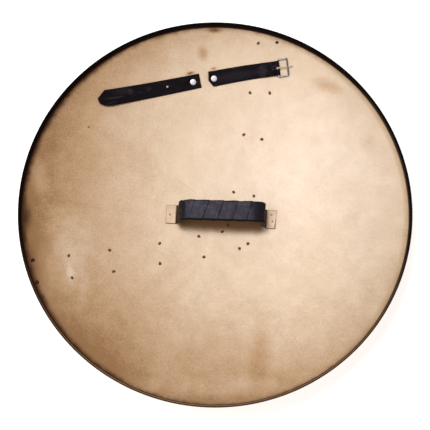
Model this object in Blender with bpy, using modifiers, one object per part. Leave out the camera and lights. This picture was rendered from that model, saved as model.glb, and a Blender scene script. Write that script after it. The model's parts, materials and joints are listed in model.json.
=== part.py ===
"""A round sheet-metal shield lying on its front, with its hand grip, buckled arm strap and pins.

Metres, +Z up. The hollow side faces up. The origin is in the middle of the small flat spot under the
dome, which the shield rests on. For someone who looks into the dish with the arm strap at the top, +X
is to the right and +Y is up.
"""
import math

import bmesh
import bpy
from mathutils import Matrix, Vector

# Clearance between neighbouring pieces
FIT_GAP = 0.0003

# The dish: one sheet with a flat spot, a shallow dome, a steep wall and an edge rolled outwards
DISH_DIAMETER = 0.813
SHEET_THICKNESS = 0.0012
FLAT_SPOT_RADIUS = 0.030
DOME_RADIUS = 1.120
WALL_BEND_RADIUS = 0.003
WALL_HEIGHT = 0.0125
ROLL_DIAMETER = 0.0046
DISH_STEPS = 72
DOME_STEPS = 7
BEND_STEPS = 2
ROLL_STEPS = 7

# The hand grip: a bent metal strip on two feet, wound with leather
GRIP_CENTRE = (0.0132, -0.0046)
GRIP_FEET_TURN = math.radians(-3.05)
GRIP_BAR_TURN = math.radians(-1.7)
GRIP_BAR_SHIFT = (0.0010, 0.0013)
STRIP_WIDTH = 0.0394
STRIP_THICKNESS = 0.0025
LEFT_FOOT_LENGTH = 0.0207
RIGHT_FOOT_LENGTH = 0.0190
RIGHT_FOOT_SKEW = 0.0026
FEET_SPACING = 0.1933
FOOT_BEND_RADIUS = 0.003
BAR_LENGTH = 0.1750
BAR_HEIGHT = 0.0600
WRAPPED_RISER_LEAN = 0.0010
LEFT_SHOULDER = (0.027, 0.022)
RIGHT_SHOULDER = (0.021, 0.012)
SHOULDER_STEPS = 4
BAR_STEPS = 4
LEATHER_ON_GRIP = 0.0022
LEATHER_ROUND_EDGE = 0.0017
WRAP_END_HEIGHT = 0.017
WRAP_ROUNDING = 0.0018

# The grip's rivets, as places along and across each foot, measured from its bend and its middle
LEFT_RIVET_PLACE = (0.0132, -0.0010)
RIGHT_UPPER_RIVET_PLACE = (0.0100, 0.0100)
RIGHT_LOWER_RIVET_PLACE = (0.0125, -0.0045)
GRIP_RIVET_SHANK_RADIUS = 0.0011
GRIP_RIVET_HEAD_RADIUS = 0.0019
GRIP_RIVET_HEAD_HEIGHT = 0.0007

# The arm strap: two halves of black leather, each held by one rivet
LEATHER_THICKNESS = 0.0020
STRAP_ROW_SPACING = 0.012

TIP_RIVET_X = -0.0479
TIP_RIVET_FROM_EDGE = 0.1183
TIP_HALF_TURN = math.radians(192.0)
TIP_HALF_BACK = 0.0160
TIP_HALF_LENGTH = 0.2090
TIP_HALF_WIDTH_AT_RIVET = 0.0314
TIP_HALF_WIDTH_AT_TIP = 0.0364
TIP_SIDE_BOW = 0.0028
TIP_CHAMFER_LENGTH = 0.0175
TIP_ROUND_LENGTH = 0.0290
TIP_NOSE_WIDTH = 0.0040
TIP_NOSE_OFFSET = 0.0018
TIP_LIFT = 0.0050
TIP_LIFT_START = 0.120
STRAP_HOLE_PLACES = (0.0570, 0.0990, 0.1370)
STRAP_HOLE_OFFSET = 0.0012
STRAP_HOLE_RADIUS = 0.0024

BUCKLE_RIVET_X = -0.0026
BUCKLE_RIVET_FROM_EDGE = 0.1107
BUCKLE_HALF_TURN = math.radians(7.8)
BUCKLE_HALF_BACK = 0.0107
BUCKLE_HALF_WIDTH_AT_RIVET = 0.0340
BUCKLE_SIDE_BOW = 0.0020
BUCKLE_END_SKEW = 0.0034
BUCKLE_CORNER_CLIP = 0.0105
BUCKLE_CLIP_FROM_MIDDLE = 0.0025
RETURN_LENGTH = 0.0310
RAMP_LENGTH = 0.0120
FOLD_STEPS = 6
SLOT_LENGTH = 0.0172
SLOT_LENGTH_BELOW = 0.0076
SLOT_WIDTH = 0.0056

# The strap's rivets
STRAP_RIVET_SHANK_RADIUS = 0.0020
STRAP_RIVET_HEAD_RADIUS = 0.0066
STRAP_RIVET_HEAD_HEIGHT = 0.0019
STRAP_RIVET_DIMPLE = 0.0006
STRAP_RIVET_BACK_RADIUS = 0.0045
STRAP_RIVET_BACK_HEIGHT = 0.0011

# The buckle: a wire frame and its prong, both on the heel bar in the leather's fold
HEEL_BAR_FROM_RIVET = 0.1390
FRAME_LENGTH = 0.0215
FRAME_WIDTH = 0.0366
FRAME_WIRE = 0.0036
FRAME_CORNER_RADIUS = 0.0024
FRAME_CORNER_STEPS = 3
PRONG_WIRE = 0.0024
PRONG_LENGTH = 0.0325
PRONG_DROOP = 0.0008
PRONG_EYE_STEPS = 9

# The pins through the sheet: two rows of pairs that set out from one corner, and two pairs at the corner
# Each pair of a row stands at a share of the way from the corner to the row's end short of the wall
PIN_CORNER = (0.0453, -0.0547)
UP_ROW_HEADING = math.radians(80.9)
UP_ROW_FROM_WALL = 0.0166
UP_ROW_SHARES = (0.238, 0.532, 0.755, 1.0)
UP_ROW_WIDTHS = (0.0437, 0.0410, 0.0430, 0.0395)
UP_ROW_SKEWS = (-2.0, -5.0, 6.0, 9.0)
SIDE_ROW_HEADING = math.radians(190.4)
SIDE_ROW_FROM_WALL = 0.0096
SIDE_ROW_SHARES = (0.179, 0.390, 0.6315, 0.833, 1.0)
SIDE_ROW_WIDTHS = (0.0464, 0.0447, 0.0464, 0.0470, 0.0481)
SIDE_ROW_SKEWS = (4.0, -9.0, 0.0, 0.0, 3.0)
CORNER_PAIRS_HEADING = math.radians(135.6)
CORNER_PAIRS_DISTANCES = (0.0348, -0.0199)
CORNER_PAIRS_OFFSET = -0.0014
CORNER_PAIRS_WIDTHS = (0.0190, 0.0203)
CORNER_PAIRS_SKEWS = (0.0, -17.0)
PIN_SHANK_RADIUS = 0.0013
PIN_HEAD_RADIUS = 0.0024
PIN_HEAD_HEIGHT = 0.0016
PIN_HEAD_STRETCH = 1.25
PIN_LEAN_STEP = math.radians(137.5)
PIN_STEPS = 8

# Turned and drilled shapes
RIVET_STEPS = 12
DRILL_STEPS = 8
DRILL_DEPTH = 0.020

# Materials: colour, roughness, metallic
FINISHES = {
    "antique_brass": ((0.72, 0.52, 0.34, 1.0), 0.42, 1.0),
    "black_leather": ((0.016, 0.015, 0.019, 1.0), 0.50, 0.0),
    "nickel": ((0.74, 0.73, 0.72, 1.0), 0.22, 1.0),
    "dark_pin": ((0.10, 0.055, 0.03, 1.0), 0.55, 1.0),
}

OVERLAP = 0.001


def clear_scene():
    for old in list(bpy.data.objects):
        bpy.data.objects.remove(old)


def new_collection(name):
    collection = bpy.data.collections.new(name)
    bpy.context.scene.collection.children.link(collection)
    return collection


def new_material(name):
    colour, roughness, metallic = FINISHES[name]
    material = bpy.data.materials.new(name)
    material.use_nodes = True
    shader = material.node_tree.nodes["Principled BSDF"]
    shader.inputs["Base Color"].default_value = colour
    shader.inputs["Roughness"].default_value = roughness
    shader.inputs["Metallic"].default_value = metallic
    return material


clear_scene()
SHIELD = new_collection("hoplite_shield")
CUTTERS = new_collection("cutters")
MATERIALS = {name: new_material(name) for name in FINISHES}


def new_object(name, data, finish):
    piece = bpy.data.objects.new(name, data)
    piece.data.materials.clear()
    piece.data.materials.append(MATERIALS[finish])
    SHIELD.objects.link(piece)
    return piece


def new_cutter(name, mesh):
    cutter = bpy.data.objects.new(name, mesh)
    cutter.hide_render = True
    cutter.display_type = "WIRE"
    CUTTERS.objects.link(cutter)
    return cutter


def cut(piece, cutter):
    boolean = piece.modifiers.new(cutter.name, "BOOLEAN")
    boolean.operation = "DIFFERENCE"
    boolean.solver = "EXACT"
    boolean.object = cutter


def thicken(piece, thickness):
    solidify = piece.modifiers.new("thickness", "SOLIDIFY")
    solidify.thickness = thickness
    solidify.offset = 0.0
    solidify.use_even_offset = True


def arc(centre, radius, start, end, steps):
    """Points of an arc in the (radius, height) plane. Angle 0 is straight down, a right angle outwards."""
    points = []
    for step in range(steps + 1):
        angle = start + (end - start) * step / steps
        points.append((centre[0] + radius * math.sin(angle), centre[1] - radius * math.cos(angle)))
    return points


# The sheet's section

RIM_RADIUS = DISH_DIAMETER / 2
WALL_INNER_RADIUS = RIM_RADIUS - ROLL_DIAMETER
BEND_CENTRE_RADIUS = WALL_INNER_RADIUS - WALL_BEND_RADIUS
DOME_END = math.asin((BEND_CENTRE_RADIUS - FLAT_SPOT_RADIUS) / (DOME_RADIUS - WALL_BEND_RADIUS))
DOME_CENTRE = (FLAT_SPOT_RADIUS, SHEET_THICKNESS + DOME_RADIUS)
BEND_CENTRE = (BEND_CENTRE_RADIUS, DOME_CENTRE[1] - (DOME_RADIUS - WALL_BEND_RADIUS) * math.cos(DOME_END))
ROLL_CENTRE = (RIM_RADIUS - ROLL_DIAMETER / 2, BEND_CENTRE[1] + WALL_HEIGHT)

TIP_RIVET_PLACE = (TIP_RIVET_X, RIM_RADIUS - TIP_RIVET_FROM_EDGE)
BUCKLE_RIVET_PLACE = (BUCKLE_RIVET_X, RIM_RADIUS - BUCKLE_RIVET_FROM_EDGE)


def sheet_face(depth):
    """The section from the flat spot to the foot of the wall, at this depth behind the inside face."""
    dome = arc(DOME_CENTRE, DOME_RADIUS + depth, 0, DOME_END, DOME_STEPS)
    bend = arc(BEND_CENTRE, WALL_BEND_RADIUS + depth, DOME_END, math.pi / 2, BEND_STEPS)
    return [(0, SHEET_THICKNESS - depth)] + dome + bend[1:]


INSIDE_FACE = sheet_face(0)


def dish_section():
    roll_radius = ROLL_DIAMETER / 2
    meets_wall = math.asin((SHEET_THICKNESS - roll_radius) / roll_radius)
    roll = arc(ROLL_CENTRE, roll_radius, -math.pi / 2, meets_wall - 2 * math.pi, ROLL_STEPS)
    return INSIDE_FACE + roll + sheet_face(SHEET_THICKNESS)[::-1]


def dish_height(x, y):
    """Height of the inside face, on the flat faces between the sheet's rings and steps."""
    step = 2 * math.pi / DISH_STEPS
    from_middle = math.atan2(y, x) % step - step / 2
    across = math.hypot(x, y) * math.cos(from_middle) / math.cos(step / 2)
    for (near_radius, near_height), (far_radius, far_height) in zip(INSIDE_FACE, INSIDE_FACE[1:]):
        if across <= far_radius:
            share = (across - near_radius) / (far_radius - near_radius)
            return near_height + share * (far_height - near_height)
    return INSIDE_FACE[-1][1]


def dish_normal(x, y):
    """Unit vector straight out of the inside face of the smooth dome."""
    radius = math.hypot(x, y)
    if radius <= FLAT_SPOT_RADIUS:
        return Vector((0, 0, 1))
    lean = math.asin(min((radius - FLAT_SPOT_RADIUS) / DOME_RADIUS, math.sin(DOME_END)))
    return Vector((-math.sin(lean) * x / radius, -math.sin(lean) * y / radius, math.cos(lean)))


def above_dish(x, y, height):
    return Vector((x, y, dish_height(x, y))) + height * dish_normal(x, y)


def dish_matrix(x, y, turn=0.0, height=0.0):
    """A frame on the dish: Z straight out of it, X along the heading, Y across it."""
    out = dish_normal(x, y)
    heading = Vector((math.cos(turn), math.sin(turn), 0))
    along = (heading - heading.dot(out) * out).normalized()
    across = out.cross(along)
    matrix = Matrix((along, across, out)).transposed().to_4x4()
    matrix.translation = above_dish(x, y, height)
    return matrix


# Shapes that several pieces share

def turned_mesh(name, section, steps):
    """A closed solid turned about Z from a section that starts and ends on the axis, top to bottom."""
    shape = bmesh.new()
    corners = [shape.verts.new((radius, 0, height)) for radius, height in section]
    edges = [shape.edges.new(pair) for pair in zip(corners, corners[1:])]
    bmesh.ops.spin(
        shape, geom=corners + edges, axis=(0, 0, 1), cent=(0, 0, 0),
        steps=steps, angle=2 * math.pi, use_merge=True,
    )
    bmesh.ops.remove_doubles(shape, verts=shape.verts, dist=0.00001)
    bmesh.ops.recalc_face_normals(shape, faces=shape.faces)
    mesh = bpy.data.meshes.new(name)
    shape.to_mesh(mesh)
    shape.free()
    mesh.shade_smooth()
    mesh.set_sharp_from_angle(angle=math.radians(40))
    return mesh


def ribbon_mesh(name, rows):
    """An open ribbon through rows of points; each row runs across the ribbon."""
    shape = bmesh.new()
    long_count = len(rows) - 1
    cross_count = len(rows[0]) - 1
    bmesh.ops.create_grid(shape, x_segments=long_count, y_segments=cross_count, size=1)
    for corner in shape.verts:
        row = round((corner.co.x + 1) / 2 * long_count)
        column = round((corner.co.y + 1) / 2 * cross_count)
        corner.co = rows[row][column]
    mesh = bpy.data.meshes.new(name)
    shape.to_mesh(mesh)
    shape.free()
    return mesh


def drill_mesh(name, places, radius):
    """One mesh of straight drills, each through the origin of its place along Z."""
    shape = bmesh.new()
    for place in places:
        bmesh.ops.create_cone(
            shape, cap_ends=True, segments=DRILL_STEPS, radius1=radius, radius2=radius,
            depth=DRILL_DEPTH, matrix=place,
        )
    mesh = bpy.data.meshes.new(name)
    shape.to_mesh(mesh)
    shape.free()
    return mesh


def wire_curve(name, points, wire, cyclic=False):
    curve = bpy.data.curves.new(name, "CURVE")
    curve.dimensions = "3D"
    curve.bevel_depth = wire / 2
    curve.bevel_resolution = 2
    curve.use_fill_caps = True
    spline = curve.splines.new("POLY")
    spline.points.add(len(points) - 1)
    for point, place in zip(spline.points, points):
        point.co = (*place, 1)
    spline.use_cyclic_u = cyclic
    return curve


# The dish

def row_distances(heading, from_wall, shares):
    """Distances of a row's pairs from the corner. The last pair stands this far inside the wall."""
    to_middle = -PIN_CORNER[0] * math.cos(heading) - PIN_CORNER[1] * math.sin(heading)
    corner_radius = math.hypot(*PIN_CORNER)
    end_radius = WALL_INNER_RADIUS - from_wall
    length = to_middle + math.sqrt(to_middle ** 2 - corner_radius ** 2 + end_radius ** 2)
    return [share * length for share in shares]


def row_places(row, heading, offset, distances, widths, skews, sides):
    """Name and plan place of each pin of a row of pairs. The pairs may stand off the row's line and askew."""
    places = {}
    for number, (distance, width, skew) in enumerate(zip(distances, widths, skews), start=1):
        middle_x = PIN_CORNER[0] + distance * math.cos(heading) - offset * math.sin(heading)
        middle_y = PIN_CORNER[1] + distance * math.sin(heading) + offset * math.cos(heading)
        across = heading + math.pi / 2 + math.radians(skew)
        for side, sign in zip(sides, (1, -1)):
            x = middle_x + sign * width / 2 * math.cos(across)
            y = middle_y + sign * width / 2 * math.sin(across)
            places[f"pin_{row}_{number}_{side}"] = (x, y)
    return places


def pin_places():
    """Name and place of every pin: a frame on the dish, turned by the way its end was hammered over."""
    up = row_distances(UP_ROW_HEADING, UP_ROW_FROM_WALL, UP_ROW_SHARES)
    side = row_distances(SIDE_ROW_HEADING, SIDE_ROW_FROM_WALL, SIDE_ROW_SHARES)
    flat = row_places("up", UP_ROW_HEADING, 0, up, UP_ROW_WIDTHS, UP_ROW_SKEWS, ("left", "right"))
    flat |= row_places("side", SIDE_ROW_HEADING, 0, side, SIDE_ROW_WIDTHS, SIDE_ROW_SKEWS, ("lower", "upper"))
    flat |= row_places(
        "corner", CORNER_PAIRS_HEADING, CORNER_PAIRS_OFFSET, CORNER_PAIRS_DISTANCES,
        CORNER_PAIRS_WIDTHS, CORNER_PAIRS_SKEWS, ("lower", "upper"),
    )
    places = {}
    for name, (x, y) in flat.items():
        places[name] = dish_matrix(x, y, turn=PIN_LEAN_STEP * len(places))
    return places


def strap_rivet_places():
    return {
        "strap_rivet_tip": dish_matrix(*TIP_RIVET_PLACE, turn=TIP_HALF_TURN),
        "strap_rivet_buckle": dish_matrix(*BUCKLE_RIVET_PLACE, turn=BUCKLE_HALF_TURN),
    }


def grip_place(along, across, height, share):
    """Plan place of a grip point. The share is 0 at the feet and 1 at the bar, which is turned less."""
    turn = GRIP_FEET_TURN + share * (GRIP_BAR_TURN - GRIP_FEET_TURN)
    x = GRIP_CENTRE[0] + share * GRIP_BAR_SHIFT[0] + along * math.cos(turn) - across * math.sin(turn)
    y = GRIP_CENTRE[1] + share * GRIP_BAR_SHIFT[1] + along * math.sin(turn) + across * math.cos(turn)
    base = (1 - share) * dish_height(x, y) + share * SHEET_THICKNESS
    return Vector((x, y, base + height))


def grip_rivet_places():
    places = {}
    for name, side, (from_bend, across) in (
        ("grip_rivet_left", -1, LEFT_RIVET_PLACE),
        ("grip_rivet_right_upper", 1, RIGHT_UPPER_RIVET_PLACE),
        ("grip_rivet_right_lower", 1, RIGHT_LOWER_RIVET_PLACE),
    ):
        spot = grip_place(side * (FEET_SPACING / 2 + from_bend), across, 0, 0)
        places[name] = dish_matrix(spot.x, spot.y, turn=GRIP_FEET_TURN)
    return places


def make_dish():
    section = dish_section()
    mesh = bpy.data.meshes.new("shield_dish")
    mesh.from_pydata([(radius, 0, height) for radius, height in section],
                     [(at, at + 1) for at in range(len(section) - 1)], [])
    dish = new_object("shield_dish", mesh, "antique_brass")
    screw = dish.modifiers.new("turn", "SCREW")
    screw.axis = "Z"
    screw.steps = DISH_STEPS
    screw.render_steps = DISH_STEPS
    screw.use_merge_vertices = True
    screw.merge_threshold = 0.00001
    screw.use_smooth_shade = True
    for name, places, shank_radius in (
        ("pin_drills", pin_places(), PIN_SHANK_RADIUS),
        ("strap_drills", strap_rivet_places(), STRAP_RIVET_SHANK_RADIUS),
        ("grip_drills", grip_rivet_places(), GRIP_RIVET_SHANK_RADIUS),
    ):
        cut(dish, new_cutter(name, drill_mesh(name, places.values(), shank_radius + FIT_GAP)))
    even_shading = dish.modifiers.new("even shading", "WEIGHTED_NORMAL")
    even_shading.keep_sharp = True


# The pins

def pin_section():
    """A hammered end on the inside face, a shank through the sheet, and an end flush with the outside."""
    crown = FIT_GAP + PIN_HEAD_HEIGHT
    return [
        (0, crown),
        (PIN_HEAD_RADIUS * 0.6, crown - PIN_HEAD_HEIGHT * 0.15),
        (PIN_HEAD_RADIUS, crown - PIN_HEAD_HEIGHT * 0.6),
        (PIN_HEAD_RADIUS * 0.9, FIT_GAP),
        (PIN_SHANK_RADIUS, FIT_GAP),
        (PIN_SHANK_RADIUS, -SHEET_THICKNESS),
        (0, -SHEET_THICKNESS),
    ]


def make_pins():
    mesh = turned_mesh("pin", pin_section(), PIN_STEPS)
    for corner in mesh.vertices:
        if math.hypot(corner.co.x, corner.co.y) > PIN_SHANK_RADIUS * 1.01:
            corner.co.x *= PIN_HEAD_STRETCH
    for name, place in pin_places().items():
        pin = new_object(name, mesh, "dark_pin")
        pin.matrix_world = place


# Rivets

def rivet_head(radius, height, foot):
    """A low domed head from its crown out to its edge and back under it, standing at this height."""
    return [
        (radius * 0.40, foot + height),
        (radius * 0.75, foot + height * 0.85),
        (radius, foot + height * 0.35),
        (radius, foot),
    ]


def rivet_shank(radius, foot, back_radius, back_height):
    """A shank from under the head down through the sheet, and a low head on the shield's front."""
    back_foot = -SHEET_THICKNESS - FIT_GAP
    return [
        (radius, foot),
        (radius, back_foot),
        (back_radius, back_foot),
        (back_radius * 0.8, back_foot - back_height),
        (0, back_foot - back_height),
    ]


def make_strap_rivets():
    foot = FIT_GAP + LEATHER_THICKNESS + FIT_GAP
    dimple_floor = foot + STRAP_RIVET_HEAD_HEIGHT - STRAP_RIVET_DIMPLE
    dimple = [(0, dimple_floor), (STRAP_RIVET_HEAD_RADIUS * 0.22, dimple_floor)]
    head = rivet_head(STRAP_RIVET_HEAD_RADIUS, STRAP_RIVET_HEAD_HEIGHT, foot)
    shank = rivet_shank(STRAP_RIVET_SHANK_RADIUS, foot, STRAP_RIVET_BACK_RADIUS, STRAP_RIVET_BACK_HEIGHT)
    mesh = turned_mesh("strap_rivet", dimple + head + shank, RIVET_STEPS)
    for name, place in strap_rivet_places().items():
        rivet = new_object(name, mesh, "nickel")
        rivet.matrix_world = place


def make_grip_rivets():
    foot = FIT_GAP + STRIP_THICKNESS + FIT_GAP
    crown = [(0, foot + GRIP_RIVET_HEAD_HEIGHT)]
    head = rivet_head(GRIP_RIVET_HEAD_RADIUS, GRIP_RIVET_HEAD_HEIGHT, foot)
    shank = rivet_shank(GRIP_RIVET_SHANK_RADIUS, foot, GRIP_RIVET_HEAD_RADIUS, GRIP_RIVET_HEAD_HEIGHT)
    mesh = turned_mesh("grip_rivet", crown + head + shank, PIN_STEPS)
    for name, place in grip_rivet_places().items():
        rivet = new_object(name, mesh, "antique_brass")
        rivet.matrix_world = place


# The hand grip

def shoulder(side, run, drop):
    """The rounded corner from a riser to the bar, from the riser's top to where the bar is level."""
    points = []
    for step in range(SHOULDER_STEPS + 1):
        angle = math.pi / 2 * (1 - step / SHOULDER_STEPS)
        along = side * (BAR_LENGTH / 2 - run * (1 - math.sin(angle)))
        points.append((along, BAR_HEIGHT - drop * (1 - math.cos(angle))))
    return points


FOOT_MIDDLE = FIT_GAP + STRIP_THICKNESS / 2


def riser_point(side, height):
    """The point of a riser's bare lower end at this height. It leans in as far as the leather's edge."""
    leather_edge = BAR_LENGTH / 2 + WRAPPED_RISER_LEAN
    share = (height - FOOT_MIDDLE) / (WRAP_END_HEIGHT - FOOT_MIDDLE)
    return (side * (FEET_SPACING / 2 + share * (leather_edge - FEET_SPACING / 2)), height)


def grip_side(side, shoulder_size):
    """Half of the strip's middle line, from the leather's edge up to the level bar."""
    run, drop = shoulder_size
    return [riser_point(side, WRAP_END_HEIGHT)] + shoulder(side, run, drop)


def grip_line():
    """The wrapped part of the strip's middle line, from one riser over the bar to the other."""
    left = grip_side(-1, LEFT_SHOULDER)
    right = grip_side(1, RIGHT_SHOULDER)
    start, end = left[-1][0], right[-1][0]
    bar = [(start + (end - start) * step / BAR_STEPS, BAR_HEIGHT) for step in range(1, BAR_STEPS)]
    return left + bar + right[::-1]


def foot_line(side):
    """A foot from its end to its bend, and the riser's bare lower end."""
    bend = FEET_SPACING / 2
    length = LEFT_FOOT_LENGTH if side < 0 else RIGHT_FOOT_LENGTH
    return [
        (side * (bend + length), FOOT_MIDDLE),
        (side * (bend + FOOT_BEND_RADIUS), FOOT_MIDDLE),
        (side * (bend + FOOT_BEND_RADIUS * 0.2), FOOT_MIDDLE + FOOT_BEND_RADIUS * 0.25),
        riser_point(side, FOOT_MIDDLE + FOOT_BEND_RADIUS),
    ]


def strip_line():
    return foot_line(-1) + grip_line() + foot_line(1)[::-1]


def grip_rows(line, width):
    """Rows of points across the grip, each blended from the feet's turn to the bar's by its height."""
    rows = []
    for along, height in line:
        share = (height - FOOT_MIDDLE) / (BAR_HEIGHT - FOOT_MIDDLE)
        rows.append([grip_place(along, across * width / 2, height, share) for across in (-1, 0, 1)])
    return rows


def strip_rows():
    """The whole strip's rows. The right foot's end is cut a little askew."""
    rows = grip_rows(strip_line(), STRIP_WIDTH)
    end = FEET_SPACING / 2 + RIGHT_FOOT_LENGTH
    rows[-1] = [
        grip_place(end + across * RIGHT_FOOT_SKEW, across * STRIP_WIDTH / 2, FOOT_MIDDLE, 0)
        for across in (-1, 0, 1)
    ]
    return rows


def make_grip():
    strip = new_object("grip_strip", ribbon_mesh("grip_strip", strip_rows()), "antique_brass")
    thicken(strip, STRIP_THICKNESS)
    holes = drill_mesh("foot_drills", grip_rivet_places().values(), GRIP_RIVET_SHANK_RADIUS + FIT_GAP)
    cut(strip, new_cutter("foot_drills", holes))

    wrap_width = STRIP_WIDTH + 2 * (FIT_GAP + LEATHER_ROUND_EDGE)
    sleeve = ribbon_mesh("grip_wrap", grip_rows(grip_line(), wrap_width))
    wrap = new_object("grip_wrap", sleeve, "black_leather")
    thicken(wrap, STRIP_THICKNESS + 2 * (FIT_GAP + LEATHER_ON_GRIP))
    bevel = wrap.modifiers.new("rounding", "BEVEL")
    bevel.width = WRAP_ROUNDING
    bevel.segments = 1
    bevel.limit_method = "ANGLE"
    bevel.angle_limit = math.radians(60)

    tunnel_line = [foot_line(-1)[-1]] + grip_line() + [foot_line(1)[-1]]
    tunnel = new_cutter("tunnel", ribbon_mesh("tunnel", grip_rows(tunnel_line, STRIP_WIDTH + 2 * FIT_GAP)))
    thicken(tunnel, STRIP_THICKNESS + 2 * FIT_GAP)
    cut(wrap, tunnel)


# The arm strap

def strap_point(rivet_place, turn, along, across, height):
    """A point of a strap: along it and across it from its rivet, and this high above the dish."""
    x = rivet_place[0] + along * math.cos(turn) - across * math.sin(turn)
    y = rivet_place[1] + along * math.sin(turn) + across * math.cos(turn)
    return above_dish(x, y, height)


def evenly(start, end, spacing):
    count = max(1, math.ceil(abs(end - start) / spacing))
    return [start + (end - start) * step / count for step in range(count + 1)]


LEATHER_REST = FIT_GAP + LEATHER_THICKNESS / 2


def tip_half_width(along):
    share = along / TIP_HALF_LENGTH
    return TIP_HALF_WIDTH_AT_RIVET + share * (TIP_HALF_WIDTH_AT_TIP - TIP_HALF_WIDTH_AT_RIVET)


def tip_half_edges(along):
    """The two edges of the pointed half: one corner is cut off straight, the other is rounded."""
    half = tip_half_width(along) / 2
    bow = TIP_SIDE_BOW * (along / TIP_HALF_LENGTH) ** 2
    to_point = TIP_HALF_LENGTH - along
    cut_off = min(1, to_point / TIP_CHAMFER_LENGTH)
    rounded = math.sqrt(1 - (1 - min(1, to_point / TIP_ROUND_LENGTH)) ** 2)
    nose_upper = TIP_NOSE_OFFSET - TIP_NOSE_WIDTH / 2
    nose_lower = TIP_NOSE_OFFSET + TIP_NOSE_WIDTH / 2
    upper = nose_upper + cut_off * (bow - half - nose_upper)
    lower = nose_lower + rounded * (bow + half - nose_lower)
    return upper, lower


def make_tip_half():
    body_end = TIP_HALF_LENGTH - TIP_ROUND_LENGTH
    stations = evenly(-TIP_HALF_BACK, body_end, STRAP_ROW_SPACING)
    stations += [TIP_HALF_LENGTH - TIP_ROUND_LENGTH * share for share in (0.8, 0.6, 0.4, 0.2, 0.08, 0.0)]
    rows = []
    for along in stations:
        upper, lower = tip_half_edges(along)
        lifted = max(0, along - TIP_LIFT_START) / (TIP_HALF_LENGTH - TIP_LIFT_START)
        height = LEATHER_REST + TIP_LIFT * lifted ** 2
        across = [upper + (lower - upper) * share for share in (0, 1 / 3, 2 / 3, 1)]
        rows.append([strap_point(TIP_RIVET_PLACE, TIP_HALF_TURN, along, at, height) for at in across])
    strap = new_object("strap_tip_half", ribbon_mesh("strap_tip_half", rows), "black_leather")
    thicken(strap, LEATHER_THICKNESS)

    hole_places = []
    for along in STRAP_HOLE_PLACES:
        spot = strap_point(TIP_RIVET_PLACE, TIP_HALF_TURN, along, -STRAP_HOLE_OFFSET, 0)
        hole_places.append(dish_matrix(spot.x, spot.y, turn=TIP_HALF_TURN))
    cut(strap, new_cutter("strap_holes", drill_mesh("strap_holes", hole_places, STRAP_HOLE_RADIUS)))
    rivet_place = dish_matrix(*TIP_RIVET_PLACE)
    rivet_hole = drill_mesh("tip_rivet_hole", [rivet_place], STRAP_RIVET_SHANK_RADIUS + FIT_GAP)
    cut(strap, new_cutter("tip_rivet_hole", rivet_hole))


# The buckle's heel bar stands high enough for the prong's eye to pass under it
HEEL_BAR_HEIGHT = FIT_GAP + PRONG_WIRE + FIT_GAP + FRAME_WIRE / 2
FOLD_RADIUS = FRAME_WIRE / 2 + FIT_GAP + LEATHER_THICKNESS / 2
FAR_BAR_HEIGHT = FIT_GAP + FRAME_WIRE / 2 + FRAME_LENGTH ** 2 / (2 * DOME_RADIUS) + FIT_GAP
FRAME_TILT = math.asin((HEEL_BAR_HEIGHT - FAR_BAR_HEIGHT) / FRAME_LENGTH)

# The leather is as wide at its fold as the straight of the heel bar
WIDTH_AT_FOLD = FRAME_WIDTH - 2 * FRAME_CORNER_RADIUS - 2 * FIT_GAP


def buckle_half_line():
    """The buckle half's middle line as (along, height): over the returned end, round the bar and back."""
    upper = LEATHER_REST + LEATHER_THICKNESS + FIT_GAP
    return_end = HEEL_BAR_FROM_RIVET - RETURN_LENGTH
    ramp_start = return_end - RAMP_LENGTH
    loop_start = HEEL_BAR_FROM_RIVET - 4 * FOLD_RADIUS
    flat = [(along, LEATHER_REST) for along in evenly(-BUCKLE_HALF_BACK, ramp_start, STRAP_ROW_SPACING)]
    over = [(along, upper) for along in evenly(return_end - FIT_GAP, loop_start, STRAP_ROW_SPACING)]
    fold = arc((HEEL_BAR_FROM_RIVET, HEEL_BAR_HEIGHT), FOLD_RADIUS, math.pi, 0, FOLD_STEPS)
    back = [(loop_start, LEATHER_REST), (return_end, LEATHER_REST)]
    return flat + over + fold + back


def buckle_half_row(along, height, first):
    """A row of points across the buckle half. Its first row is cut askew, with one corner clipped."""
    share = max(0, along) / HEEL_BAR_FROM_RIVET
    half = (BUCKLE_HALF_WIDTH_AT_RIVET + share * (WIDTH_AT_FOLD - BUCKLE_HALF_WIDTH_AT_RIVET)) / 2
    bow = BUCKLE_SIDE_BOW * math.sin(math.pi * min(1, share))
    row = []
    for across in (-half, -BUCKLE_CLIP_FROM_MIDDLE, half / 2, half):
        at = along
        if first:
            at -= BUCKLE_END_SKEW * (half - across) / (2 * half)
            at += BUCKLE_CORNER_CLIP if across < -BUCKLE_CLIP_FROM_MIDDLE else 0
        row.append(strap_point(BUCKLE_RIVET_PLACE, BUCKLE_HALF_TURN, at, bow + across, height))
    return row


def buckle_matrix():
    """The buckle's own frame: origin in the heel bar, X towards the far bar, Y along the heel bar."""
    spot = strap_point(BUCKLE_RIVET_PLACE, BUCKLE_HALF_TURN, HEEL_BAR_FROM_RIVET, 0, 0)
    lying = dish_matrix(spot.x, spot.y, turn=BUCKLE_HALF_TURN, height=HEEL_BAR_HEIGHT)
    return lying @ Matrix.Rotation(FRAME_TILT, 4, "Y")


def box_cutter(name, matrix, low, high):
    shape = bmesh.new()
    bmesh.ops.create_cube(shape, size=1)
    middle = [(a + b) / 2 for a, b in zip(low, high)]
    size = [b - a for a, b in zip(low, high)]
    place = matrix @ Matrix.Translation(middle) @ Matrix.Diagonal((*size, 1))
    bmesh.ops.transform(shape, matrix=place, verts=shape.verts)
    mesh = bpy.data.meshes.new(name)
    shape.to_mesh(mesh)
    shape.free()
    return new_cutter(name, mesh)


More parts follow.
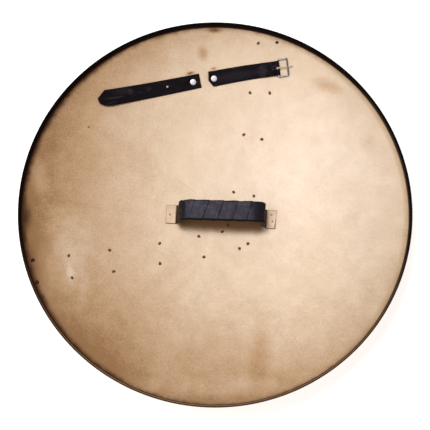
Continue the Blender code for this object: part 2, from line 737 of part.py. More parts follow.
def make_buckle_half():
    line = buckle_half_line()
    rows = [buckle_half_row(along, height, at == 0) for at, (along, height) in enumerate(line)]
    strap = new_object("strap_buckle_half", ribbon_mesh("strap_buckle_half", rows), "black_leather")
    thicken(strap, LEATHER_THICKNESS)
    rivet_place = dish_matrix(*BUCKLE_RIVET_PLACE)
    rivet_hole = drill_mesh("buckle_rivet_hole", [rivet_place], STRAP_RIVET_SHANK_RADIUS + FIT_GAP)
    cut(strap, new_cutter("buckle_rivet_hole", rivet_hole))

    spot = strap_point(BUCKLE_RIVET_PLACE, BUCKLE_HALF_TURN, HEEL_BAR_FROM_RIVET, 0, 0)
    on_dish = dish_matrix(spot.x, spot.y, turn=BUCKLE_HALF_TURN)
    half_slot = SLOT_WIDTH / 2
    past_fold = FOLD_RADIUS + LEATHER_THICKNESS
    over_fold = HEEL_BAR_HEIGHT + past_fold
    below_leather = -LEATHER_THICKNESS
    between_layers = LEATHER_REST + LEATHER_THICKNESS / 2 + FIT_GAP / 2
    for name, low, high in (
        ("slot_through", (-SLOT_LENGTH_BELOW, -half_slot, below_leather), (past_fold, half_slot, over_fold)),
        ("slot_upper", (-SLOT_LENGTH, -half_slot, between_layers), (0, half_slot, over_fold + OVERLAP)),
    ):
        cut(strap, box_cutter(name, on_dish, low, high))


# The buckle

def frame_points():
    """The frame's wire as a closed line: a rectangle with round corners, heel bar at X = 0."""
    radius = FRAME_CORNER_RADIUS
    half = FRAME_WIDTH / 2
    corners = [
        (FRAME_LENGTH - radius, half - radius, 0),
        (radius, half - radius, math.pi / 2),
        (radius, -half + radius, math.pi),
        (FRAME_LENGTH - radius, -half + radius, 3 * math.pi / 2),
    ]
    points = []
    for x, y, start in corners:
        for step in range(FRAME_CORNER_STEPS + 1):
            angle = start + math.pi / 2 * step / FRAME_CORNER_STEPS
            points.append((x + radius * math.cos(angle), y + radius * math.sin(angle), 0))
    return points


def prong_points():
    """The prong's wire: an eye round the heel bar, then straight over the far bar to a drooping tip."""
    eye_radius = FRAME_WIRE / 2 + FIT_GAP + PRONG_WIRE / 2
    eye_start = math.radians(-40)
    points = []
    for step in range(PRONG_EYE_STEPS + 1):
        angle = eye_start - (math.radians(230) * step / PRONG_EYE_STEPS)
        points.append((eye_radius * math.cos(angle), 0, eye_radius * math.sin(angle)))
    points.append((FRAME_LENGTH + FRAME_WIRE / 2, 0, eye_radius))
    points.append((PRONG_LENGTH, 0, eye_radius - PRONG_DROOP))
    return points


def curve_as_mesh(name, curve):
    """The curve's shape as one closed mesh, its caps welded on."""
    holder = bpy.data.objects.new(name + "_curve", curve)
    SHIELD.objects.link(holder)
    bpy.context.view_layer.update()
    mesh = bpy.data.meshes.new_from_object(holder.evaluated_get(bpy.context.evaluated_depsgraph_get()))
    bpy.data.objects.remove(holder)
    shape = bmesh.new()
    shape.from_mesh(mesh)
    bmesh.ops.remove_doubles(shape, verts=shape.verts, dist=0.00001)
    bmesh.ops.recalc_face_normals(shape, faces=shape.faces)
    shape.to_mesh(mesh)
    shape.free()
    mesh.name = name
    return mesh


def make_buckle():
    place = buckle_matrix()
    frame_wire = wire_curve("buckle_frame", frame_points(), FRAME_WIRE, cyclic=True)
    frame = new_object("buckle_frame", curve_as_mesh("buckle_frame", frame_wire), "nickel")
    frame.matrix_world = place
    prong_wire = wire_curve("buckle_prong", prong_points(), PRONG_WIRE)
    prong = new_object("buckle_prong", curve_as_mesh("buckle_prong", prong_wire), "nickel")
    prong.matrix_world = place


make_dish()
make_pins()
make_grip()
make_grip_rivets()
make_tip_half()
make_buckle_half()
make_strap_rivets()
make_buckle()
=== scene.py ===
# %% [markdown]
# # A replica hoplite shield, seen from its hollow side
#
# The shield is one round sheet of brass-coloured metal, dished like a very shallow bowl, with a short
# wall and a rolled edge. In its hollow sit a leather-wound hand grip, the two halves of a buckled arm
# strap, and the hammered ends of 22 small pins. It lies on its front, so the camera looks down into it.
#
# The solid model is loaded first. It fixes every place and size. Each cell after that makes one kind of
# piece finely enough to look at, in the place of its plain solid.

# %% Load the solid model
import json
import math

import bmesh
import bpy
from mathutils import Matrix, Vector, noise


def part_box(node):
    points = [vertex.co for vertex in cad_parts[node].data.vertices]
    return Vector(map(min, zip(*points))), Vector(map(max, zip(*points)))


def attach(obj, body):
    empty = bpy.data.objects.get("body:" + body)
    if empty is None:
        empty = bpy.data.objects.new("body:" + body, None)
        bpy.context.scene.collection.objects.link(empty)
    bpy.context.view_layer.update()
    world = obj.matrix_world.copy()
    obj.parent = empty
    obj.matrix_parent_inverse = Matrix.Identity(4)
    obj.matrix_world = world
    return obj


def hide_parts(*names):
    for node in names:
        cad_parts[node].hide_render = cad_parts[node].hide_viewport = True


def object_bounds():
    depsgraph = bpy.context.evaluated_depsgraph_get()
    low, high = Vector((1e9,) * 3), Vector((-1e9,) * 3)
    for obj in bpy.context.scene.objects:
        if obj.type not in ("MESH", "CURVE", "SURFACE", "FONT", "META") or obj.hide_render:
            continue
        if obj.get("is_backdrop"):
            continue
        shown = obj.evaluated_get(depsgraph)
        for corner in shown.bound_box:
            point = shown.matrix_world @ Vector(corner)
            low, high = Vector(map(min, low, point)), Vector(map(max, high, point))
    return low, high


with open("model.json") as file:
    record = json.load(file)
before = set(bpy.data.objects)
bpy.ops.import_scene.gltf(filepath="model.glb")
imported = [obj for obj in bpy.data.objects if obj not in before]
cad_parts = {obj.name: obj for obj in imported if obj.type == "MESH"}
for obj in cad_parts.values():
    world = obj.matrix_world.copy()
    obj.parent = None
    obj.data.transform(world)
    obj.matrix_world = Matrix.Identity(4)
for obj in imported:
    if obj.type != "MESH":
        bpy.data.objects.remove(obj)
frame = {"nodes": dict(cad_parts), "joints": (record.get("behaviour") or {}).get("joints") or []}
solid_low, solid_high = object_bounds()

# %% [markdown]
# ## The sheet's section
#
# Everything rests on the dish, so its section comes first: a flat spot in the middle, a dome of large
# radius, a tight bend, a short wall and a rolled edge. An arc is described by its centre, its radius and
# two angles, which is how a metal spinner would read it off a drawing. The height of the sheet under any
# point follows from the same few numbers, and every other piece asks for it.

# %% Sizes of the sheet, and the height of its inside face
FIT_GAP = 0.0003
RIM_RADIUS = 0.813 / 2
SHEET_THICKNESS = 0.0012
FLAT_SPOT_RADIUS = 0.030
DOME_RADIUS = 1.120
WALL_BEND_RADIUS = 0.003
WALL_HEIGHT = 0.0125
ROLL_DIAMETER = 0.0046

WALL_INNER_RADIUS = RIM_RADIUS - ROLL_DIAMETER
BEND_CENTRE_RADIUS = WALL_INNER_RADIUS - WALL_BEND_RADIUS
DOME_END = math.asin((BEND_CENTRE_RADIUS - FLAT_SPOT_RADIUS) / (DOME_RADIUS - WALL_BEND_RADIUS))
DOME_CENTRE = (FLAT_SPOT_RADIUS, SHEET_THICKNESS + DOME_RADIUS)
BEND_CENTRE = (BEND_CENTRE_RADIUS, DOME_CENTRE[1] - (DOME_RADIUS - WALL_BEND_RADIUS) * math.cos(DOME_END))
ROLL_CENTRE = (RIM_RADIUS - ROLL_DIAMETER / 2, BEND_CENTRE[1] + WALL_HEIGHT)

TIP_RIVET_PLACE = (-0.0479, RIM_RADIUS - 0.1183)
BUCKLE_RIVET_PLACE = (-0.0026, RIM_RADIUS - 0.1107)
DENT_DEPTH = 0.0016
DENT_SPREAD = 0.0090

GRIP_CENTRE = (0.0132, -0.0046)
GRIP_FEET_TURN = math.radians(-3.05)
STRIP_WIDTH = 0.0394
FEET_SPACING = 0.1933
FOOT_LENGTHS = {-1: 0.0207, 1: 0.0190}


def dent(x, y):
    """How far the sheet was driven down round the two rivets of the arm strap."""
    depth = 0
    for rivet_x, rivet_y in (TIP_RIVET_PLACE, BUCKLE_RIVET_PLACE):
        squared = (x - rivet_x) ** 2 + (y - rivet_y) ** 2
        depth += DENT_DEPTH * math.exp(-squared / (2 * DENT_SPREAD ** 2))
    return depth


def sheet_height(x, y):
    """The height of the sheet's inside face, before its dents."""
    across = max(0, math.hypot(x, y) - FLAT_SPOT_RADIUS)
    return DOME_CENTRE[1] - math.sqrt(DOME_RADIUS ** 2 - across ** 2)


def sheet_normal(x, y):
    """The way that the inside face looks at this point."""
    radius = math.hypot(x, y)
    if radius <= FLAT_SPOT_RADIUS:
        return Vector((0, 0, 1))
    lean = math.asin((radius - FLAT_SPOT_RADIUS) / DOME_RADIUS)
    return Vector((-math.sin(lean) * x / radius, -math.sin(lean) * y / radius, math.cos(lean)))


def sunk(point):
    """The point, lowered as far as the sheet under it was driven down."""
    return point - Vector((0, 0, dent(point.x, point.y)))


def frame_at(place, along, across):
    """A frame at a place, with X along, Y across and Z square to both."""
    matrix = Matrix((along, across, along.cross(across))).transposed().to_4x4()
    matrix.translation = place
    return matrix


def sheet_place(x, y, turn=0.0, height=0.0):
    """A frame on the sheet: Z straight out of it, X along the heading, Y across it."""
    out = sheet_normal(x, y)
    heading = Vector((math.cos(turn), math.sin(turn), 0))
    along = (heading - heading.dot(out) * out).normalized()
    return frame_at(Vector((x, y, sheet_height(x, y))) + height * out, along, out.cross(along))


def node_middle(node):
    """The middle of a plain solid's box."""
    low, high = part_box(node)
    return (low + high) / 2


pin_nodes = sorted(node for node in frame["nodes"] if node.startswith("pin_"))
print("rim radius", RIM_RADIUS, "height of the roll", round(ROLL_CENTRE[1], 4), "pins", len(pin_nodes))

# %% [markdown]
# ## Camera
#
# The photograph was taken from almost straight above, a little from the shield's lower side. That angle
# shows as a circle that is slightly flattened, and as an inner wall that is wider at the top than at the
# bottom. Distance and lens belong together: the nearer the camera, the more the edges of the bowl spread.

# %% Camera
IMAGE_SIZE = 430
FOCAL_PIXELS = 1018.9
SENSOR = 36.0
CAMERA_DISTANCE = 2.1
CAMERA_ELEVATION = math.radians(77.18)
AIM = Vector((-0.0003, -0.0168, ROLL_CENTRE[1]))

camera_data = bpy.data.cameras.new("camera")
camera_data.sensor_width = SENSOR
camera_data.lens = FOCAL_PIXELS * SENSOR / IMAGE_SIZE
camera = bpy.data.objects.new("camera", camera_data)
camera.location = (0, -CAMERA_DISTANCE * math.cos(CAMERA_ELEVATION),
                   ROLL_CENTRE[1] + CAMERA_DISTANCE * math.sin(CAMERA_ELEVATION))
camera.rotation_euler = (AIM - camera.location).to_track_quat("-Z", "Y").to_euler()
bpy.context.scene.collection.objects.link(camera)
bpy.context.scene.camera = camera
print("camera at", [round(v, 3) for v in camera.location], "lens", round(camera_data.lens, 2))

# %% [markdown]
# ## Floor and light
#
# A plain pale floor and soft light keep the eye on the metal. The main light is a wide panel high above
# the shield's upper left: its soft shadow falls just below the grip, and the bowl, which mirrors like a
# shallow dish, is brightest on the opposite side. A weaker panel lights the left flank. The rest comes
# evenly from all round. The plain colour transform keeps a white floor white.

# %% Floor and light
FLOOR_SIZE = 9.0
FLOOR_COLOUR = (0.92, 0.92, 0.92, 1)
FLOOR_ROUGHNESS = 0.9
FLOOR_GLOW = 0.60
SURROUND_COLOUR = (1.0, 0.99, 0.98, 1)
SURROUND_STRENGTH = 0.37

bpy.ops.mesh.primitive_plane_add(size=FLOOR_SIZE)
floor = bpy.context.object
floor.name = "studio_floor"
floor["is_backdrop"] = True
floor_finish = bpy.data.materials.new("studio_floor")
floor_finish.use_nodes = True
floor_shader = floor_finish.node_tree.nodes["Principled BSDF"]
floor_shader.inputs["Base Color"].default_value = FLOOR_COLOUR
floor_shader.inputs["Roughness"].default_value = FLOOR_ROUGHNESS
floor_shader.inputs["Emission Color"].default_value = (1, 1, 1, 1)
floor_shader.inputs["Emission Strength"].default_value = FLOOR_GLOW
floor.data.materials.append(floor_finish)

world = bpy.data.worlds.new("studio")
world.use_nodes = True
surround = world.node_tree.nodes["Background"]
surround.inputs["Color"].default_value = SURROUND_COLOUR
surround.inputs["Strength"].default_value = SURROUND_STRENGTH
bpy.context.scene.world = world
bpy.context.scene.view_settings.view_transform = "Standard"


def add_panel(name, place, size, power):
    """A square soft light that faces the middle of the shield."""
    light = bpy.data.lights.new(name, "AREA")
    light.size = size
    light.energy = power
    holder = bpy.data.objects.new(name, light)
    holder.location = place
    holder.rotation_euler = (-Vector(place)).to_track_quat("-Z", "Y").to_euler()
    bpy.context.scene.collection.objects.link(holder)


add_panel("key_panel", (-0.35, 0.50, 2.35), 0.7, 18)
add_panel("side_panel", (-0.90, 0.10, 2.10), 1.2, 9)

# %% [markdown]
# ## Writing materials as sums
#
# A procedural finish is arithmetic on masks: "brown where the sheet is far left, plus a little noise".
# In the node editor that is a forest of Math nodes. Here a `Wire` wraps one output socket, and Python's
# own operators add the nodes, so the code reads like the sum it is. Anything that isn't plain
# arithmetic, such as a noise or a colour ramp, comes from one method, `Finish.node`.

# %% Wires and finishes
class Wire:
    """An output socket. Arithmetic on it adds Math nodes to its material."""

    def __init__(self, finish, socket):
        self.finish = finish
        self.socket = socket

    def maths(self, operation, first, second=0.0, clamp=False):
        settings = {"operation": operation, "use_clamp": clamp}
        return self.finish.node("ShaderNodeMath", settings, {0: first, 1: second})

    def __add__(self, other):
        return self.maths("ADD", self, other)

    def __radd__(self, other):
        return self.maths("ADD", other, self)

    def __sub__(self, other):
        return self.maths("SUBTRACT", self, other)

    def __rsub__(self, other):
        return self.maths("SUBTRACT", other, self)

    def __mul__(self, other):
        return self.maths("MULTIPLY", self, other)

    def __rmul__(self, other):
        return self.maths("MULTIPLY", other, self)

    def __truediv__(self, other):
        return self.maths("DIVIDE", self, other)

    def __pow__(self, other):
        return self.maths("POWER", self, other)

    def clamped(self):
        """The value, held between 0 and 1."""
        return self.maths("ADD", self, 0.0, clamp=True)

    def least(self, other):
        """The smaller of two values."""
        return self.maths("MINIMUM", self, other)

    def most(self, other):
        """The larger of two values."""
        return self.maths("MAXIMUM", self, other)

    def rise(self, low, high):
        """0 below the low value, 1 above the high one, and a smooth step between them."""
        settings = {"interpolation_type": "SMOOTHSTEP"}
        return self.finish.node("ShaderNodeMapRange", settings, {"Value": self, 1: low, 2: high})


class Finish:
    """One material and the methods that add nodes to it."""

    def __init__(self, name, **constants):
        self.material = bpy.data.materials.new(name)
        self.material.use_nodes = True
        self.tree = self.material.node_tree
        self.shader = self.tree.nodes["Principled BSDF"]
        for socket, value in constants.items():
            self.shader.inputs[socket.replace("_", " ")].default_value = value

    def node(self, kind, settings=None, inputs=None, output=0):
        """Adds a node. Its settings come first, because some of them change which sockets it has."""
        made = self.tree.nodes.new(kind)
        for setting, value in (settings or {}).items():
            if setting == "stops":
                self.set_stops(made.color_ramp.elements, value)
            else:
                setattr(made, setting, value)
        for socket, value in (inputs or {}).items():
            self.put(made.inputs[socket], value)
        return Wire(self, made.outputs[output])

    def set_stops(self, elements, stops):
        """Gives a colour ramp these stops. It comes with two, and the others are added."""
        for number, (position, colour) in enumerate(stops):
            element = elements[number] if number < len(elements) else elements.new(position)
            element.position = position
            element.color = (*colour, 1)

    def put(self, socket, value):
        """Links a wire to the socket, or sets the socket to a constant."""
        if isinstance(value, Wire):
            self.tree.links.new(value.socket, socket)
        elif isinstance(value, tuple) and len(value) == 3 and socket.type == "RGBA":
            socket.default_value = (*value, 1)
        else:
            socket.default_value = value

    def place(self):
        """The point on the piece, in metres, in the model's own frame."""
        return self.node("ShaderNodeTexCoord", output="Object")

    def axes(self, vector):
        """The vector's three parts, each as a wire."""
        return [self.node("ShaderNodeSeparateXYZ", None, {0: vector}, axis) for axis in range(3)]

    def turned(self, vector, centre=(0, 0, 0), turn=0.0, size=(1, 1, 1)):
        """The space round a centre, turned about Z and measured in units of this size on each axis."""
        inputs = {"Vector": vector, "Location": centre, "Rotation": (0, 0, turn), "Scale": size}
        return self.node("ShaderNodeMapping", {"vector_type": "TEXTURE"}, inputs)

    def flattened(self, vector):
        """The same point at height 0."""
        across, away, _ = self.axes(vector)
        return self.node("ShaderNodeCombineXYZ", None, {0: across, 1: away})

    def noise(self, vector, size, detail=3.0, roughness=0.55, distortion=0.0):
        """Cloudy noise from 0 to 1 whose blotches are about this many metres across."""
        inputs = {"Vector": vector, "Scale": 1 / size, "Detail": detail, "Roughness": roughness,
                  "Distortion": distortion}
        return self.node("ShaderNodeTexNoise", None, inputs)

    def cells(self, vector, size):
        """The distance to the middle of the nearest of many small cells."""
        inputs = {"Vector": vector, "Scale": 1 / size}
        return self.node("ShaderNodeTexVoronoi", {"feature": "F1"}, inputs, "Distance")

    def attribute(self, name):
        """A mark that travels with the mesh."""
        return self.node("ShaderNodeAttribute", {"attribute_name": name}, None, "Fac")

    def ramp(self, value, stops):
        """The colour that a ramp with these stops gives for a value."""
        return self.node("ShaderNodeValToRGB", {"stops": stops}, {"Fac": value}, "Color")

    def length(self, vector):
        """How long the vector is, as a value."""
        return self.distance(vector, (0, 0, 0))

    def distance(self, first, second):
        """How far apart two points are, as a value."""
        return self.node("ShaderNodeVectorMath", {"operation": "DISTANCE"}, {0: first, 1: second}, "Value")

    def blend(self, mask, first, second):
        """The first colour where the mask is 0, the second where it is 1."""
        settings = {"data_type": "RGBA", "clamp_factor": True}
        return self.node("ShaderNodeMix", settings, {0: mask, 6: first, 7: second}, 2)

    def times(self, colour, factor):
        """A colour made lighter or darker by a value, channel by channel."""
        settings = {"operation": "SCALE"}
        return self.node("ShaderNodeVectorMath", settings, {0: colour, "Scale": factor})

    def bump(self, height, distance, under=None):
        """Fine relief of this depth in metres, on top of a coarser one."""
        inputs = {"Height": height, "Distance": distance, "Strength": 1.0}
        if under is not None:
            inputs["Normal"] = under
        return self.node("ShaderNodeBump", None, inputs, "Normal")

    def connect(self, **wires):
        """Feeds the shader's sockets. An underscore in a name stands for a space."""
        for socket, wire in wires.items():
            self.put(self.shader.inputs[socket.replace("_", " ")], wire)


print("wires and finishes ready")

# %% [markdown]
# ## Helpers for meshes
#
# Straps, wires, the grip and its leather are all one kind of shape: a cross-section carried along a line.
# It could be a curve with a bevel, but here the section changes on the way. So the first ring is drawn
# as a few vertices and edges, and every further ring is extruded from the last and moved to its place.
# A mark on each vertex, such as "this is a cut edge", travels with the mesh for its finish to read.

# %% Mesh helpers
SHARP_ANGLE = math.radians(38)
MERGE_DISTANCE = 0.000005


def evenly(start, end, spacing):
    """Values from start to end, at most this far apart."""
    count = max(1, math.ceil(abs(end - start) / spacing))
    return [start + (end - start) * step / count for step in range(count + 1)]


def arc(centre, radius, start, end, steps):
    """Points of an arc in the (radius, height) plane. Angle 0 is straight down, a right angle outwards."""
    angles = [start + (end - start) * step / steps for step in range(steps + 1)]
    return [(centre[0] + radius * math.sin(a), centre[1] - radius * math.cos(a)) for a in angles]


def new_shape(*marks):
    """An empty mesh whose vertices can carry these marks."""
    shape = bmesh.new()
    for mark in marks:
        shape.verts.layers.float.new(mark)
    return shape


def sweep(shape, rings, closed=False):
    """A skin through rings of points, capped at both ends or joined end to end. Returns its rings."""
    ring = [shape.verts.new(point) for point in rings[0]]
    edges = [shape.edges.new((ring[at - 1], ring[at])) for at in range(len(ring))]
    first_edges = edges
    made_rings = [ring]
    for points in rings[1:]:
        made = bmesh.ops.extrude_edge_only(shape, edges=edges)["geom"]
        fresh = {part for part in made if isinstance(part, bmesh.types.BMVert)}
        ring = [next(e.other_vert(v) for e in v.link_edges if e.other_vert(v) in fresh) for v in ring]
        for vertex, point in zip(ring, points):
            vertex.co = point
        edges = [shape.edges.get((ring[at - 1], ring[at])) for at in range(len(ring))]
        made_rings.append(ring)
    if closed:
        bmesh.ops.bridge_loops(shape, edges=first_edges + edges)
    else:
        bmesh.ops.edgeloop_fill(shape, edges=first_edges)
        bmesh.ops.edgeloop_fill(shape, edges=edges)
    bmesh.ops.recalc_face_normals(shape, faces=shape.faces)
    return made_rings


def turned(shape, section, steps):
    """A solid turned about Z, in an empty shape, from a section whose ends are on the axis."""
    corners = [shape.verts.new((radius, 0, height)) for radius, height in section]
    edges = [shape.edges.new(pair) for pair in zip(corners, corners[1:])]
    bmesh.ops.spin(shape, geom=corners + edges, axis=(0, 0, 1), cent=(0, 0, 0), steps=steps,
                   angle=2 * math.pi, use_merge=True)
    bmesh.ops.remove_doubles(shape, verts=shape.verts, dist=MERGE_DISTANCE)
    bmesh.ops.recalc_face_normals(shape, faces=shape.faces)


def to_mesh(name, shape, place=Matrix.Identity(4)):
    """The finished mesh in its place: smooth, but sharp where two faces meet at a real edge."""
    bmesh.ops.transform(shape, matrix=place, verts=shape.verts)
    mesh = bpy.data.meshes.new(name)
    shape.to_mesh(mesh)
    shape.free()
    mesh.shade_smooth()
    mesh.set_sharp_from_angle(angle=SHARP_ANGLE)
    return mesh


def add_piece(name, mesh, finish, body, slot, *replaced):
    """The piece rides on its body and stands for the plain solids named last."""
    mesh.materials.clear()
    mesh.materials.append(finish.material)
    piece = bpy.data.objects.new(name, mesh)
    bpy.context.scene.collection.objects.link(piece)
    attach(piece, body)
    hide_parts(*replaced)
    print(name, len(mesh.polygons), "faces")


def drilled(mesh, cutter_shape):
    """The mesh with the cutter taken out of it."""
    cutter = bpy.data.objects.new("cutter", to_mesh("cutter", cutter_shape))
    holder = bpy.data.objects.new("holder", mesh)
    for thing in (cutter, holder):
        bpy.context.scene.collection.objects.link(thing)
    boolean = holder.modifiers.new("drill", "BOOLEAN")
    boolean.operation = "DIFFERENCE"
    boolean.solver = "EXACT"
    boolean.object = cutter
    bpy.context.view_layer.update()
    result = bpy.data.meshes.new_from_object(holder.evaluated_get(bpy.context.evaluated_depsgraph_get()))
    for thing in (cutter, holder):
        bpy.data.objects.remove(thing)
    result.shade_smooth()
    result.set_sharp_from_angle(angle=SHARP_ANGLE)
    return result


print("mesh helpers ready")

# %% [markdown]
# ## The dish
#
# On the real shield one round sheet is spun over a former, and its edge is rolled round a wire's width
# to stiffen it. The same idea makes the mesh: half of the section is drawn once and spun round the
# middle. The section follows the sheet's inside face, over the roll and back along its outside, so that
# the wall has its true thickness and the roll is a real curl with a gap behind it. Rows lie closer
# together where the two dents of the strap's rivets are pressed in afterwards.

# %% Dish mesh
DISH_STEPS = 360
ROW_SPACING = 0.012
DENT_ROW_SPACING = 0.0032
DENT_BAND = (0.268, 0.322)
DOME_END_RADIUS = FLAT_SPOT_RADIUS + DOME_RADIUS * math.sin(DOME_END)
BEND_ROWS = 6
WALL_ROWS = 3
ROLL_ROWS = 18
CURL_GAP = math.radians(9)


def dome_radii():
    """The radii of the dome's rows, closer together where the dents are."""
    inner = evenly(FLAT_SPOT_RADIUS, DENT_BAND[0], ROW_SPACING)
    dented = evenly(*DENT_BAND, DENT_ROW_SPACING)
    outer = evenly(DENT_BAND[1], DOME_END_RADIUS, ROW_SPACING)
    return inner + dented[1:] + outer[1:]


def sheet_face(depth):
    """The section from the middle to the foot of the wall, at this depth behind the inside face."""
    points = [(0, SHEET_THICKNESS - depth), (FLAT_SPOT_RADIUS / 2, SHEET_THICKNESS - depth)]
    for radius in dome_radii():
        lean = math.asin((radius - FLAT_SPOT_RADIUS) / DOME_RADIUS)
        points.append((DOME_CENTRE[0] + (DOME_RADIUS + depth) * math.sin(lean),
                       DOME_CENTRE[1] - (DOME_RADIUS + depth) * math.cos(lean)))
    points += arc(BEND_CENTRE, WALL_BEND_RADIUS + depth, DOME_END, math.pi / 2, BEND_ROWS)[1:]
    foot_height = points[-1][1]
    for row in range(1, WALL_ROWS):
        points.append((points[-1][0], foot_height + (ROLL_CENTRE[1] - foot_height) * row / WALL_ROWS))
    return points


def rolled_edge():
    """Over the outside of the roll, round its cut end and back through the inside of the curl."""
    outside = ROLL_DIAMETER / 2
    inside = outside - SHEET_THICKNESS
    end = -2 * math.pi - math.asin(inside / outside) + CURL_GAP
    over = arc(ROLL_CENTRE, outside, -math.pi / 2, end, ROLL_ROWS)
    back = arc(ROLL_CENTRE, inside, end, -math.pi / 2, ROLL_ROWS)
    return over + back


dish_shape = new_shape("front")
turned(dish_shape, sheet_face(0) + rolled_edge() + sheet_face(SHEET_THICKNESS)[::-1], DISH_STEPS)
front_layer = dish_shape.verts.layers.float["front"]
for vertex in dish_shape.verts:
    middle_of_sheet = sheet_height(vertex.co.x, vertex.co.y) - SHEET_THICKNESS / 2
    vertex[front_layer] = 1.0 if vertex.co.z < middle_of_sheet else 0.0
    vertex.co = sunk(vertex.co)
dish_mesh = to_mesh("dish", dish_shape)
print("dish", len(dish_mesh.polygons), "faces, height", round(max(v.co.z for v in dish_mesh.vertices), 4))

# %% [markdown]
# ## The brass-coloured sheet
#
# The sheet is a lacquered, aged brass tone: pale peach near the palest place on the right, tan further out,
# and brown towards the left edge and the bottom. The whitish pale peach is a painted highlight: the broad
# reflection of the lights, laid into the colour. Over that lie a fine speckle, a slight orange peel, a few
# smudges, and painted shade under the grip, in the strap's holes and beside its rivets. The rolled edge is
# painted nearly black, with painted light along its bottom, and the wall under it dark red-brown. One tone
# value, worked out from the distance to the palest place and from noise, runs through a colour ramp, so
# that every shade stays in one family. Masks for the roll and the wall then lay the dark paint on top.

# %% Sheet finish
SHEET_METALLIC = 0.25
SHEET_GLOSS = 0.08
SHEET_ROUGHNESS = 0.47
PAINT_ROUGHNESS = 0.75
# The middle of the painted highlight, on the right of the sheet
PALEST_PLACE = (0.185, 0.095, 0)
PALEST_REACH = 0.49
FARTHEST_TONE = 0.62
DARKEST_PATINA = 0.80
FRONT_TONE = 0.40
AGE_AND_SHEEN_CURVE = 1.15
CLOUD_CONTRAST = 0.26
BLOTCH_CONTRAST = 0.18
SPECKLE_CONTRAST = 0.26
SPECKLE_WITH_AGE_AND_SHEEN = 0.22
OUTER_ZONE = (0.320, 0.400)
OUTER_ZONE_TONE = 0.06
CLOUD_SIZE = 0.16
BLOTCH_SIZE = 0.035
SPECKLE_SIZE = 0.0034
PEEL_SIZE = 0.0022
PEEL_DEPTH = 0.00018
BLOTCH_DEPTH = 0.0006
SMUDGE_RAGGEDNESS = 0.8
SMUDGE_FADE = 1.5
GRIME_REACH = (0.0002, 0.0017)
UNDER_BAR_FADE = (0.42, 0.50)
# Where the painted shadow below the grip begins and ends, and how strong it is
GRIP_SHADOW_LOWER_EDGE = (-0.032, -0.012)
GRIP_SHADOW_UPPER_EDGE = (0.0, 0.020)
GRIP_SHADOW_RAGGEDNESS = 0.012
GRIP_SHADOW_TONE = 0.12
GRIP_SHADOW_STRENGTH = 0.88
# A line of painted shade beside the grip
CREASE_ENDS = ((-0.0885, 0.0831), (-0.0347, 0.0442))
CREASE_WIDTH = 0.0010
CREASE_SHADE_TONE = 0.10
# Reach of the darker brown round the pins: dirt and painted shade
PIN_DIRT_AND_SHADE_REACH = (0.0018, 0.0044)
PIN_DIRT_AND_SHADE_RAGGEDNESS = 0.0026
PIN_DIRT_AND_SHADE_STRENGTH = 0.62
FAR_RIGHT = (0.45, 0.85)
FAR_RIGHT_DARKENING = 0.13
YELLOW_BAND = (0.3890, 0.3965)
YELLOW_BAND_STRENGTH = 0.55
CREPT_REACH = (0.3915, 0.4065)
CREPT_CLOUD_SIZE = 0.022
CREPT_RAGGEDNESS = 0.012
CREPT_FURTHER_AT_LEFT = 0.0060
CREPT_CURVE = 1.6
# From the painted highlight's whitish peach, through tan, to dark patina
PATINA_AND_SHEEN_TONES = [
    (0.0, (0.90, 0.72, 0.57)),
    (0.35, (0.79, 0.60, 0.43)),
    (0.62, (0.575, 0.361, 0.203)),
    (0.80, (0.375, 0.197, 0.089)),
    (0.94, (0.15, 0.070, 0.033)),
    (1.0, (0.035, 0.018, 0.012)),
]
# The brown of the painted shadow below the grip
GRIP_SHADOW_BROWN = (0.31, 0.140, 0.045)
GRIME_BROWN = (0.060, 0.028, 0.014)
# Dirt and painted shade round the pins
PIN_DIRT_AND_SHADE_BROWN = (0.22, 0.115, 0.052)
BAND_YELLOW = (0.56, 0.37, 0.20)
CREPT_PAINT = (0.070, 0.028, 0.011)
THIN_WALL_PAINT = (0.060, 0.016, 0.007)
WALL_PAINT = (0.0050, 0.0018, 0.0012)
PAINT_PATCH_SIZE = 0.006
ROLL_PAINT = (0.0020, 0.0015, 0.0015)
# Painted light on the lower part of the rolled edge, on its outer and inner halves
ROLL_OUTER_PAINTED_LIGHT = (0.060, 0.028, 0.017)
ROLL_INNER_PAINTED_LIGHT = (0.300, 0.165, 0.092)
